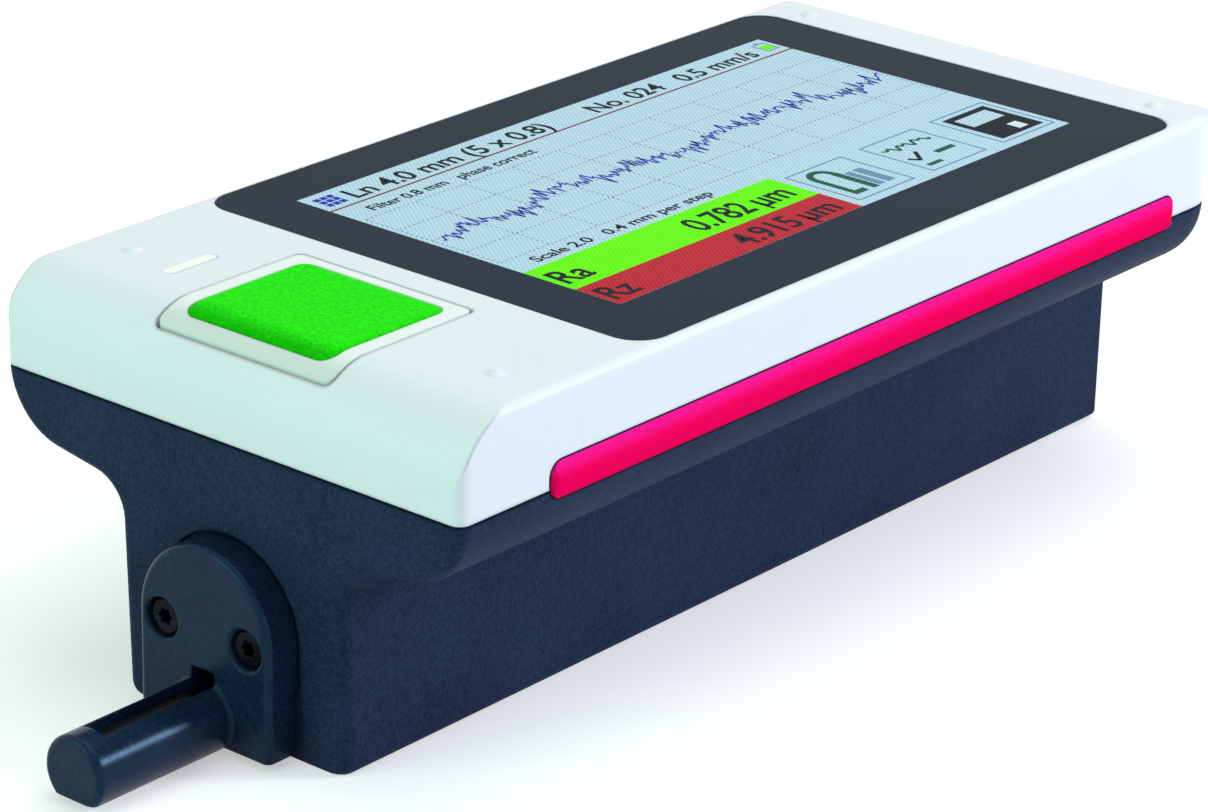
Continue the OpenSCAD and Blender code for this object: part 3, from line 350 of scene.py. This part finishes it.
def piece(mesh, material, body, slot, *stands_for):
    """Makes a mesh a piece of the object: it gets its material and body, and replaces the CAD nodes
    that it stands for. The slot is not used."""
    made = bpy.data.objects.new(mesh.name, mesh)
    bpy.context.collection.objects.link(made)
    mesh.materials.append(material)
    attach(made, body)
    if stands_for:
        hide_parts(*stands_for)
    return made


# Strip gap shade
# Painted shade round the strips, where the grooves in the two shells stay a little wider. Each is a
# closed black ring, swept round its strip and let into the wall, that stands for the shade in the gap.
strip_r = 1.9
gap_shade_w, gap_shade_lift, gap_shade_bite, gap_shade_steps = 0.24, 0.02, 0.3, 400
wall_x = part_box("upper_shell")[1].x / MM
# A black material for the painted shade in the groove gaps round the strips
gap_shade_black = moulded(
    "gap_shade_black", (0.004, 0.005, 0.008), (0.012, 0.014, 0.020), (0.6, 0.7),
    **{"Specular IOR Level": 0.05})
for side, name in ((1, "right"), (-1, "left")):
    low, high = (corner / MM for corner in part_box("side_strip_" + name))
    edges = [
        rounded_loop(low.y - gap, high.y + gap, low.z - gap, high.z + gap, strip_r + gap, gap_shade_steps)
        for gap in (0.0, gap_shade_w, gap_shade_w, 0.0)]
    proud, sunk = wall_x + gap_shade_lift, wall_x - gap_shade_bite
    loops = np.stack([
        np.concatenate([np.full((gap_shade_steps, 1), side * depth), edge], 1)
        for depth, edge in zip((proud, proud, sunk, sunk), edges)])
    loops = np.concatenate([loops, loops[:1]])[:, ::-side]
    piece(grid_mesh("strip_gap_shade_" + name, loops, around=True), gap_shade_black, "housing", "housing_dark")

# Cover glass
# A pane of hardened glass with a dull surface, printed dark behind. It is bonded flush into its seat
# in the deck.
glass_print = moulded(
    "glass_print", (0.012, 0.022, 0.036), (0.020, 0.031, 0.049), (0.36, 0.42),
    grain=5000.0, cloud=40.0, bump=0.002, **{"Specular IOR Level": 0.02})
finish(glass_print, "cover_glass")

# Display
# A liquid crystal panel bonded to the back of the glass. Its picture is built as thin raised layers
# on the glass: a pale field, two result bars, a dotted grid with a measured trace, words and icons.
panel_metal = machined(
    "panel_metal", (0.30, 0.31, 0.33), (0.40, 0.41, 0.43), (0.4, 0.5), marks=(3000.0, 60.0, 60.0))
finish(panel_metal, "display_panel")
glass_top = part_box("cover_glass")[1].z / MM
field_x, field_y = -28.1, -37.0
field_u, field_v = 95.0, 53.9
layer = 0.02


def on_display(u, v, height):
    """Places on the display: u runs along the words, v down the picture, and the height is counted
    in layers above the glass."""
    return np.stack(np.broadcast_arrays(field_x + v, field_y + u, glass_top + layer * height), -1)


def plates(boxes, level):
    """Closed flat plates, one for each row of boxes (u0, u1, v0, v1), a layer thick on a level."""
    u0, u1, v0, v1 = np.asarray(boxes, float).T
    foot = np.stack([on_display(u, v, level) for u, v in ((u0, v0), (u0, v1), (u1, v1), (u1, v0))], 1)
    points = np.concatenate([foot, foot + (0, 0, layer)], 1)
    sides = np.array([
        [3, 2, 1, 0], [4, 5, 6, 7], [0, 1, 5, 4], [1, 2, 6, 5], [2, 3, 7, 6], [3, 0, 4, 7]])
    faces = sides[None] + 8 * np.arange(len(points))[:, None, None]
    return points.reshape(-1, 3), faces.reshape(-1, 4)


def stroke(path, width, level):
    """A closed flat line of even width along a path of (u, v) points: the path is pushed to both
    sides along its normal, and the four edges of the line are carried along it."""
    path = np.asarray(path, float)
    ahead = np.gradient(path, axis=0)
    ahead /= np.linalg.norm(ahead, axis=1, keepdims=True)
    aside = np.stack([-ahead[:, 1], ahead[:, 0]], -1) * width / 2
    left, right = (path - aside).T, (path + aside).T
    edges = [on_display(*left, level + 1), on_display(*right, level + 1),
             on_display(*right, level), on_display(*left, level)]
    points = np.stack(edges, 1).reshape(-1, 3)
    ends = [[3, 2, 1, 0], range(len(points) - 4, len(points))]
    return points, np.concatenate([cells(len(path), 4, around=True), np.array(ends)])


def words(text, start, end, base, cap, level):
    """A closed flat line of letters from start to end along u. The font's own outlines are filled
    and thickened, then stretched to the run and to the height of the capitals above the base."""
    font_cap, half_layer = 0.73, 0.5
    curve = bpy.data.curves.new("words", "FONT")
    curve.body = text
    curve.extrude = half_layer
    curve.offset = 0.016
    curve.resolution_u = 4
    holder = bpy.data.objects.new("words", curve)
    mesh = bpy.data.meshes.new_from_object(holder)
    solid = bmesh.new()
    solid.from_mesh(mesh)
    bmesh.ops.remove_doubles(solid, verts=solid.verts, dist=0.002)
    bmesh.ops.dissolve_degenerate(solid, edges=solid.edges, dist=0.0005)
    bmesh.ops.triangulate(solid, faces=solid.faces)
    bmesh.ops.recalc_face_normals(solid, faces=solid.faces)
    solid.to_mesh(mesh)
    solid.free()
    flat = np.empty(len(mesh.vertices) * 3)
    mesh.vertices.foreach_get("co", flat)
    x, y, z = flat.reshape(-1, 3).T
    corners = np.empty(len(mesh.polygons) * 3, int)
    mesh.polygons.foreach_get("vertices", corners)
    bpy.data.objects.remove(holder)
    bpy.data.curves.remove(curve)
    bpy.data.meshes.remove(mesh)
    along = start + (x - x.min()) / np.ptp(x) * (end - start)
    places = on_display(along, base - y * cap / font_cap, level + half_layer + z)
    return places, corners.reshape(-1, 3)


def joined(name, *solids):
    """One mesh from several solids, each an array of points in millimetres and one of faces."""
    starts = np.cumsum([0] + [len(points) for points, faces in solids[:-1]])
    places = np.concatenate([points for points, faces in solids]) * MM
    numbered = [(faces + start).tolist() for start, (points, faces) in zip(starts, solids)]
    mesh = bpy.data.meshes.new(name)
    mesh.from_pydata(places.tolist(), [], sum(numbered, []))
    mesh.update()
    return mesh


def printed(name, colour, *solids):
    """A piece of the picture in one colour, from closed solids."""
    piece(joined(name, *solids), colour, "housing", "display")


# Pixel weave: two crossed sets of fine lines, as the cells of the panel show through the glass
pixel_weave, given, put_out = shader_group(
    "pixel_weave", {"Pitch": 0.56}, {"Height": "Float", "Drift": "Float"})
where = add_node(pixel_weave, "TexCoord")
beat = add_node(pixel_weave, "Math", {0: 2 * np.pi / MM, 1: given.outputs["Pitch"]}, operation="DIVIDE")
turned = add_node(pixel_weave, "VectorRotate", {
    "Vector": where.outputs["Object"], "Angle": 0.62}, rotation_type="Z_AXIS")
split = add_node(pixel_weave, "SeparateXYZ", {"Vector": turned.outputs[0]})
bands = [
    add_node(pixel_weave, "Math", {0: split.outputs[axis], 1: beat.outputs[0]}, operation="MULTIPLY")
    for axis in ("X", "Y")]
waves = [add_node(pixel_weave, "Math", {0: band.outputs[0]}, operation="SINE") for band in bands]
crossed = add_node(pixel_weave, "Math", {
    0: waves[0].outputs[0], 1: waves[1].outputs[0]}, operation="ADD")
weave = add_node(pixel_weave, "MapRange", {
    "Value": crossed.outputs[0], "From Min": -2.0, "From Max": 2.0})
pixel_weave.links.new(weave.outputs[0], put_out.inputs["Height"])
pixel_weave.links.new(weave.outputs[0], put_out.inputs["Drift"])


def lit(name, dark, light):
    """A colour of the display, woven from a darker and a lighter shade."""
    rough, bump, edge = (0.40, 0.46), 0.0005, 0
    uniform = {"Specular IOR Level": 0.02}
    return drifting(name, pixel_weave, {}, dark, light, rough, bump, edge, uniform)


field_blue = lit("field_blue", (0.33, 0.54, 0.70), (0.66, 0.82, 0.86))
printed("display_field", field_blue, plates([(0, field_u, 0, field_v)], 0))

result_u = 48.6
ra_bar, rz_bar = (38.4, 46.8), (46.8, field_v)
lime = lit("lime", (0.12, 0.84, 0.002), (0.18, 1.0, 0.004))
printed("bar_ra", lime, plates([(0, result_u, *ra_bar)], 1))
brick = lit("brick", (0.34, 0.012, 0.022), (0.70, 0.036, 0.056))
printed("bar_rz", brick, plates([(0, result_u, *rz_bar)], 1))

header_v, half_rule = 6.05, 0.16
maroon = lit("maroon", (0.17, 0.010, 0.022), (0.26, 0.020, 0.035))
printed("header_rule", maroon, plates([(0, field_u, header_v - half_rule, header_v + half_rule)], 1))

# Dotted grid: short dashes along and across the picture
grid_v = np.linspace(11.2, 34.0, 5)
grid_u = np.linspace(0.8, 94.4, 11)
dash, dot_pitch = 0.34, 0.85
dots_u = np.arange(1.0, 94.2, dot_pitch)
dots_v = np.arange(11.4, 33.8, dot_pitch)
along_u, along_v = (part.ravel() for part in np.meshgrid(dots_u, grid_v))
across_u, across_v = (part.ravel() for part in np.meshgrid(grid_u, dots_v))
half_line = 0.09
rows_of_dots = np.stack([along_u, along_u + dash, along_v - half_line, along_v + half_line], -1)
columns_of_dots = np.stack([across_u - half_line, across_u + half_line, across_v, across_v + dash], -1)
grid_ink = lit("grid_ink", (0.14, 0.19, 0.27), (0.22, 0.29, 0.38))
printed("grid_dots", grid_ink, plates(np.concatenate([rows_of_dots, columns_of_dots]), 1))

# Trace: a rough profile, from two slow waves and quick chatter
seed = 7
chatter = np.random.default_rng(seed)
trace_v, trace_w, chatter_v = 22.4, 0.26, 1.2
trace_u = np.linspace(2.0, 94.5, 300)
slow = 1.0 * np.sin(trace_u / 6.1) + 0.8 * np.sin(trace_u / 2.7 + 1.3)
quick = chatter.normal(0.0, chatter_v, trace_u.size)
trace = np.stack([trace_u, trace_v + slow + quick], -1)
trace_blue = lit("trace_blue", (0.014, 0.022, 0.36), (0.030, 0.046, 0.56))
printed("trace", trace_blue, stroke(trace, trace_w, 2))

# Words: each row is a text with its start and end, base and height of capitals, and level. The tails
# turn the u of both units into a micro sign
ink = lit("ink", (0.004, 0.006, 0.012), (0.016, 0.022, 0.034))
ra_base, rz_base = 45.0, 52.6
unit_u, unit_end = 39.9, 46.4
tail_w, tail_h = 0.52, 1.2
tails = [(unit_u, unit_u + tail_w, base - tail_h, base + tail_h) for base in (ra_base, rz_base)]
texts = (
    ("Ln 4.0 mm (5 x 0.8)", 6.2, 45.0, 4.9, 3.5, 1),
    ("No. 024   0.5 mm/s", 54.0, 89.5, 4.9, 3.3, 1),
    ("Filter 0.8 mm   phase correct", 4.2, 36.0, 9.7, 1.9, 1),
    ("Scale 2.0   0.4 mm per step", 4.2, 39.0, 37.2, 1.9, 1),
    ("Ra", 1.0, 6.4, ra_base, 4.6, 2),
    ("0.782", 27.0, 38.4, ra_base, 4.6, 2),
    ("um", unit_u, unit_end, ra_base, 4.6, 2),
    ("Rz", 1.0, 6.2, rz_base, 4.4, 2),
    ("4.915", 27.0, 38.4, rz_base, 4.4, 2),
    ("um", unit_u, unit_end, rz_base, 4.4, 2))
printed("display_words", ink, *(words(*row) for row in texts), plates(tails, 2))

# Icons: a grid sign and a battery in the header, and three keys drawn in the corner
sign_u, sign_v = (part.ravel() for part in np.meshgrid([1.3, 2.5, 3.7], [1.4, 2.6, 3.8]))
sign_w = 0.95
sign = np.stack([sign_u, sign_u + sign_w, sign_v, sign_v + sign_w], -1)
printed("grid_sign", trace_blue, plates(sign, 1))


def outline(u0, u1, v0, v1, width, level):
    """A closed flat frame inside a rectangle: its four edges, outer and inner, low and high, are
    joined into one ring."""
    u = np.array([[u0, u1, u1, u0], [u0 + width, u1 - width, u1 - width, u0 + width]])
    v = np.array([[v0, v0, v1, v1], [v0 + width, v0 + width, v1 - width, v1 - width]])
    turns = ((0, 0), (0, 1), (1, 1), (1, 0))
    edges = [on_display(u[inner], v[inner], level + lift) for inner, lift in turns]
    index = np.arange(16).reshape(4, 4)
    ahead = np.roll(index, -1, 0)
    faces = np.stack([index, ahead, np.roll(ahead, -1, 1), np.roll(index, -1, 1)], -1)
    return np.concatenate(edges), faces.reshape(-1, 4)


steel_blue = lit("steel_blue", (0.12, 0.25, 0.38), (0.20, 0.34, 0.48))
icon_v0, icon_v1 = 39.8, 52.3
icon_starts = (50.2, 66.2, 82.0)
icon_w = 12.0
icon_line, battery_line, disk_line = 0.28, 0.22, 1.15
hook_line, small_line, tick_line = 1.0, 0.45, 0.6
frames = [outline(u, u + icon_w, icon_v0, icon_v1, icon_line, 1) for u in icon_starts]
battery = outline(91.6, 94.2, 1.4, 4.6, battery_line, 1)
slabs = plates([(92.5, 93.3, 0.98, 1.38), (57.0, 58.2, 44.4, 50.4), (58.8, 60.4, 44.4, 50.4)], 1)
printed("icon_frames", steel_blue, *frames, battery, slabs)
printed("battery_charge", lime, plates([(91.95, 93.85, 2.4, 4.25)], 1))

pine = lit("pine", (0.006, 0.085, 0.050), (0.014, 0.14, 0.085))
hook_u, hook_v, hook_w, hook_h = 54.2, 43.6, 1.9, 2.2
hook_turn = np.linspace(0.0, np.pi, 24)
hook = np.stack([hook_u - hook_w * np.cos(hook_turn), hook_v - hook_h * np.sin(hook_turn)], -1)
legs = plates([(51.8, 52.8, 43.62, 49.4), (55.5, 56.7, 43.62, 50.6), (51.8, 54.4, 49.42, 50.6)], 1)
small_v, small_h = 43.2, 0.9
small_u = np.linspace(67.4, 76.8, 60)
small_wave = small_h * np.sin(small_u * 2.9) * np.cos(small_u * 0.9)
small_trace = np.stack([small_u, small_v + small_wave], -1)
dashes = plates([(72.6, 76.6, 47.4, 48.4), (67.6, 70.6, 50.0, 50.8)], 1)
printed(
    "icons_green", pine, stroke(hook, hook_line, 1), legs, stroke(small_trace, small_line, 1), dashes)

tick = np.array([[67.6, 47.0], [68.6, 48.4], [70.8, 45.8]])
gone = np.linspace(0, 2, 25)
tick_path = np.stack([np.interp(gone, [0, 1, 2], tick[:, side]) for side in (0, 1)], -1)
disk = outline(83.4, 92.8, 41.0, 51.2, disk_line, 1)
disk_label = plates([(84.57, 91.63, 45.6, 50.03)], 1)
printed("icons_dark", ink, disk, disk_label, stroke(tick_path, tick_line, 1))
paper = lit("paper", (0.62, 0.74, 0.78), (0.80, 0.88, 0.90))
printed("disk_notch", paper, plates([(88.6, 90.6, 48.0, 50.25)], 2))

# Start key
# A white cap that follows the rolled front, held by a lip under the shell, with a soft green rubber
# pad pressed into it. Both carry a painted shade that darkens their colour down the roll.
nose_r = 9.2
deck_z = glass_top
nose_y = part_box("upper_shell")[0].y / MM + nose_r
key_painted_shade_depth = 1.2
# Painted shade: the cap's colour darkens and turns greener down the roll, a painted shade with a painted
# green reflection of the pad
key_plastic = drifting(
    "key_plastic", grain_and_painted_shading,
    {"Grain": 3500.0, "Speckle": 0.2, "Low": (deck_z - key_painted_shade_depth) * MM, "High": deck_z * MM},
    (0.68, 0.75, 0.70), (1.0, 1.0, 0.98), (0.40, 0.48), 0.006, 0.4, {"Specular IOR Level": 0.3})
finish(key_plastic, "start_key")


def on_nose(plan, height):
    """Points over the deck: on its flat part the height counts upwards, and on the rolled front it
    counts out from the roll's axis, at the angle that the point's place in plan gives."""
    roll = np.arcsin(np.clip((nose_y - plan[..., 1]) / nose_r, 0, 1))
    ahead = np.maximum(plan[..., 1] - nose_y, 0)
    y = nose_y + ahead - (nose_r + height) * np.sin(roll)
    z = deck_z - nose_r + (nose_r + height) * np.cos(roll)
    return np.stack([plan[..., 0], y, z], -1)


pad_low, pad_high = (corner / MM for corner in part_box("key_pad"))
pad_proud = pad_high.z - deck_z
pad_t, pad_soft, pad_flat, pad_middle = 1.1, 0.9, 1.6, 8.0
pad_r, pad_tighten, pad_least_r = 1.6, 0.8, 0.25
pad_steps, pad_around = 12, 240
pad_round = np.linspace(0, np.pi / 2, 9)
pad_inset = np.concatenate([
    np.linspace(pad_middle, 0, pad_steps), pad_soft * (1 - np.cos(pad_round)),
    np.linspace(pad_flat, pad_middle, pad_steps)])
pad_level = pad_proud + np.concatenate([
    np.full(pad_steps, -pad_t), pad_soft * (np.sin(pad_round) - 1), np.zeros(pad_steps)])
pad_rings = np.stack([
    on_nose(rounded_loop(pad_low.x + inset, pad_high.x - inset, pad_low.y + inset, pad_high.y - inset,
                         max(pad_r - inset * pad_tighten, pad_least_r), pad_around), level)
    for inset, level in zip(pad_inset, pad_level)])
pad_mesh = grid_mesh("green_pad", pad_rings, around=True, capped=True)
pad_mesh.shade_smooth()
# Painted shade: the pad's green darkens down its rolled front, below its top
pad_painted_shade_depth = 0.5
pad_rubber = drifting(
    "pad_rubber", grain_and_painted_shading,
    {"Grain": 2000.0, "Speckle": 1.5, "Low": (pad_high.z - pad_painted_shade_depth) * MM, "High": pad_high.z * MM},
    (0.005, 0.48, 0.0005), (0.024, 0.99, 0.005), (0.52, 0.64), 0.03, 0,
    {"Specular IOR Level": 0.05, "Specular Tint": (0.3, 1.0, 0.2, 1)})
piece(pad_mesh, pad_rubber, "key", "key_green", "key_pad")

# Key dome
# A moulded silicone dome on the board under the key's post. Its thin skirt folds as the key goes
# down and springs it back. It is turned from one outline, inside and outside.
dome_low, dome_high = (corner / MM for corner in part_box("key_dome"))
dome_y = (dome_low.y + dome_high.y) / 2
dome_h = dome_high.z - dome_low.z
foot_r = dome_high.x
dome_t, roof_r, pole_r = 0.6, 2.3, 0.05
rise = np.linspace(0, 1, 25)
skirt_r = foot_r - dome_t + (roof_r - foot_r + dome_t) * rise ** 2 * (3 - 2 * rise)
dome_r = np.concatenate([[pole_r], skirt_r[::-1] - dome_t, [foot_r, foot_r], skirt_r, [pole_r]])
inner_h = dome_h - dome_t
dome_z = np.concatenate([
    [inner_h], inner_h * rise[::-1], [0, dome_t], dome_t + inner_h * rise, [dome_h]])
dome_turn = np.linspace(0, 2 * np.pi, 65)[:-1]
dome_points = np.stack(np.broadcast_arrays(
    dome_r[:, None] * np.cos(dome_turn), dome_y + dome_r[:, None] * np.sin(dome_turn),
    dome_low.z + dome_z[:, None]), -1)
dome_mesh = grid_mesh("silicone_dome", dome_points, around=True, capped=True)
dome_mesh.shade_smooth()
crease = 0.7
dome_mesh.set_sharp_from_angle(angle=crease)
silicone = moulded("silicone", (0.55, 0.56, 0.54), (0.64, 0.65, 0.62), (0.5, 0.6))
dome = piece(dome_mesh, silicone, "housing", "silicone", "key_dome")
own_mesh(dome)

# Status light
# A pale light pipe, moulded in a milky plastic. It stands on a lamp on the board and ends flush in
# the deck.
lit_plastic = moulded("lit_plastic", (0.95, 0.97, 0.87), (0.98, 1.0, 0.91), (0.3, 0.4))
finish(lit_plastic, "status_light")

# Pick-up guard
# A steel plate with a slotted tube, turned and milled from one bar, blackened, and held by two black
# cap screws with star sockets.
black_oxide = moulded(
    "black_oxide", (0.004, 0.011, 0.026), (0.010, 0.025, 0.058), (0.22, 0.29),
    grain=1900.0, cloud=140.0, bump=0.010, edge=0.4,
    **{"Specular IOR Level": 0.17, "Specular Tint": (0.34, 0.62, 1.0, 1)})
finish(black_oxide, "pickup_guard")
black_steel = machined(
    "black_steel", (0.001, 0.002, 0.003), (0.004, 0.005, 0.007), (0.2, 0.32),
    marks=(1500.0, 1500.0, 1500.0), edge=0.25,
    **{"Metallic": 0.0, "Specular IOR Level": 0.08, "Specular Tint": (0.6, 0.75, 1.0, 1)})
finish(black_steel, "guard_screws")

# Guard fillet
# The hollow left by the cutter between the tube and the plate, in the same blackened steel. Its
# outline is swept round the tube on both sides of the viewing slot.
tube_r, tube_axis, plate_face = 4.8, 4.4, -82.9
fillet_r, bite = 0.5, 0.1
sweep_from, sweep_to = np.radians(-38), np.radians(66)
swing = np.linspace(np.pi, np.pi / 2, 9)
wide_r, sunk_r = tube_r + fillet_r, tube_r - bite
hollow_r = np.concatenate([wide_r + fillet_r * np.cos(swing), [wide_r, sunk_r, sunk_r]])
hollow_y = np.concatenate([fillet_r * np.sin(swing) - fillet_r, [bite, bite, -fillet_r]]) + plate_face
for side, name in ((1, "right"), (-1, "left")):
    sweep = np.linspace(sweep_from, sweep_to, 33)[::side, None]
    ring = np.stack(np.broadcast_arrays(
        side * hollow_r * np.cos(sweep), hollow_y, tube_axis + hollow_r * np.sin(sweep)), -1)
    mesh = grid_mesh("guard_fillet_" + name, ring, around=True, capped=True)
    mesh.shade_smooth()
    mesh.set_sharp_from_angle(angle=crease)
    piece(mesh, black_oxide, "housing", "guard_metal")

# Electronics
# A glass-fibre board on posts in the lower shell, with its sockets soldered to the rear edge, and a
# pack of lithium cells in shrunk film behind the motor.

# Board skin: fine tracks under the solder mask, from the joints of a brick pattern
board_skin, given, put_out = shader_group(
    "board_skin", {"Pitch": 260.0}, {"Height": "Float", "Drift": "Float"})
where = add_node(board_skin, "TexCoord")
tracks = add_node(board_skin, "TexBrick", {
    "Vector": where.outputs["Object"], "Scale": given.outputs["Pitch"], "Mortar Size": 0.06,
    "Color1": (0.3, 0.3, 0.3, 1), "Color2": (0.4, 0.4, 0.4, 1), "Mortar": (1, 1, 1, 1)})
board_skin.links.new(tracks.outputs["Color"], put_out.inputs["Drift"])
board_skin.links.new(tracks.outputs["Fac"], put_out.inputs["Height"])
solder_mask = drifting(
    "solder_mask", board_skin, {}, (0.004, 0.06, 0.022), (0.03, 0.17, 0.06), (0.32, 0.40), 0.01, 0, {})
finish(solder_mask, "main_board")
finish(plated_steel, "board_screws")
socket_steel = machined(
    "socket_steel", (0.52, 0.53, 0.54), (0.66, 0.67, 0.68), (0.24, 0.36), marks=(200.0, 3000.0, 200.0))
finish(socket_steel, "data_socket", "card_socket")
shrunk_film = moulded(
    "shrunk_film", (0.02, 0.07, 0.24), (0.03, 0.10, 0.32), (0.22, 0.34), grain=500.0, bump=0.03)
finish(shrunk_film, "battery_pack")

# Drive frame
# Three upright plates under one bridge, cast in zinc in one piece and held by the guard's screws. It
# carries the ground rods, the bearings, the motor and a home switch of black plastic.
cast_zinc = moulded(
    "cast_zinc", (0.34, 0.35, 0.37), (0.44, 0.45, 0.47), (0.45, 0.6),
    grain=1800.0, bump=0.03, Metallic=0.9)
finish(cast_zinc, "drive_frame")
ground_steel = machined(
    "ground_steel", (0.56, 0.57, 0.58), (0.68, 0.69, 0.70), (0.16, 0.28), marks=(300.0, 6000.0, 300.0))
finish(ground_steel, "guide_rod_left", "guide_rod_right")
bearing_steel = machined(
    "bearing_steel", (0.50, 0.51, 0.53), (0.62, 0.63, 0.65), (0.2, 0.3), marks=(4000.0, 300.0, 4000.0))
finish(bearing_steel, "front_bearing", "rear_bearing")
black_plastic = moulded(
    "black_plastic", (0.003, 0.004, 0.005), (0.008, 0.009, 0.011), (0.50, 0.62),
    **{"Specular IOR Level": 0.06})
finish(black_plastic, "home_switch")

# Lead screw
# A turned steel screw with a two-start thread of 4 mm lead, on two plain journals that run in the
# bearings. Its rings follow the thread, which runs out at both ends.
screw_low, screw_high = (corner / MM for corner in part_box("lead_screw"))
screw_axis = (screw_low.z + screw_high.z) / 2
screw_r = (screw_high.z - screw_low.z) / 2
journal_r, journal_front, journal_rear = 2.0, 3.15, 11.15
thread_lead, thread_starts, thread_depth, run_out = 4.0, 2, 0.6, 0.5
thread_y = np.linspace(screw_low.y + journal_front, screw_high.y - journal_rear, 360)
screw_turn = np.linspace(0, 2 * np.pi, 49)[:-1][::-1]
phase = thread_y[:, None] / thread_lead * thread_starts - screw_turn[None] * thread_starts / (2 * np.pi)
flank = np.clip(np.abs(phase % 1 - 0.5) * 4 - 0.5, 0, 1)
fade = np.minimum(1, np.minimum(thread_y - thread_y[0], thread_y[-1] - thread_y) / run_out)
thread_r = screw_r - thread_depth * flank * fade[:, None]
rings_y = np.concatenate([[screw_low.y, thread_y[0]], thread_y, [thread_y[-1], screw_high.y]])
journal = np.full((2, screw_turn.size), journal_r)
rings_r = np.concatenate([journal, thread_r, journal])
screw_points = np.stack([
    rings_r * np.cos(screw_turn), np.broadcast_to(rings_y[:, None], rings_r.shape),
    screw_axis + rings_r * np.sin(screw_turn)], -1)
screw_mesh = grid_mesh("threaded_screw", screw_points, around=True, capped=True)
screw_mesh.shade_smooth()
screw_mesh.set_sharp_from_angle(angle=0.6)
piece(screw_mesh, ground_steel, "spindle", "steel", "lead_screw")

# Motor and coupling
# A small geared motor in a drawn steel can, screwed to the drive frame, and joined to the lead screw
# by a slotted coupling of anodised aluminium.
anodised = machined(
    "anodised", (0.24, 0.28, 0.38), (0.33, 0.37, 0.48), (0.3, 0.42), marks=(400.0, 5000.0, 400.0))
finish(anodised, "shaft_coupling")
drawn_can = machined(
    "drawn_can", (0.44, 0.45, 0.46), (0.56, 0.57, 0.58), (0.26, 0.38), marks=(200.0, 2600.0, 200.0))
finish(drawn_can, "gear_motor")
finish(ground_steel, "motor_shaft")
finish(plated_steel, "motor_screws")

# Carriage
# A milled aluminium block on two rods, with sintered bushes and a bronze nut pressed into it. It
# carries the pick-up below.
milled_alloy = machined(
    "milled_alloy", (0.50, 0.51, 0.53), (0.60, 0.61, 0.63), (0.3, 0.42), marks=(2600.0, 300.0, 300.0))
finish(milled_alloy, "carriage")
bronze = machined(
    "bronze", (0.42, 0.24, 0.08), (0.54, 0.33, 0.13), (0.34, 0.5), marks=(1500.0, 1500.0, 1500.0))
finish(bronze, "guide_bushes", "lead_nut")

# Pick-up
# A holder of black plastic hangs under the carriage, and the pick-up's body is plugged into it. A
# ground steel skid under its nose rests on the surface that is measured.
finish(black_plastic, "pickup_holder", "pickup_body")
finish(ground_steel, "skid")

# Stylus
# A thin steel lever on a pin in the pick-up's nose, with a diamond-tipped needle set into its end. It
# rocks as the needle is drawn over a surface.
finish(bearing_steel, "stylus_lever")
finish(ground_steel, "stylus_pin")
needle_steel = machined(
    "needle_steel", (0.20, 0.21, 0.23), (0.30, 0.31, 0.33), (0.22, 0.34), marks=(900.0, 900.0, 6000.0))
finish(needle_steel, "stylus_tip")
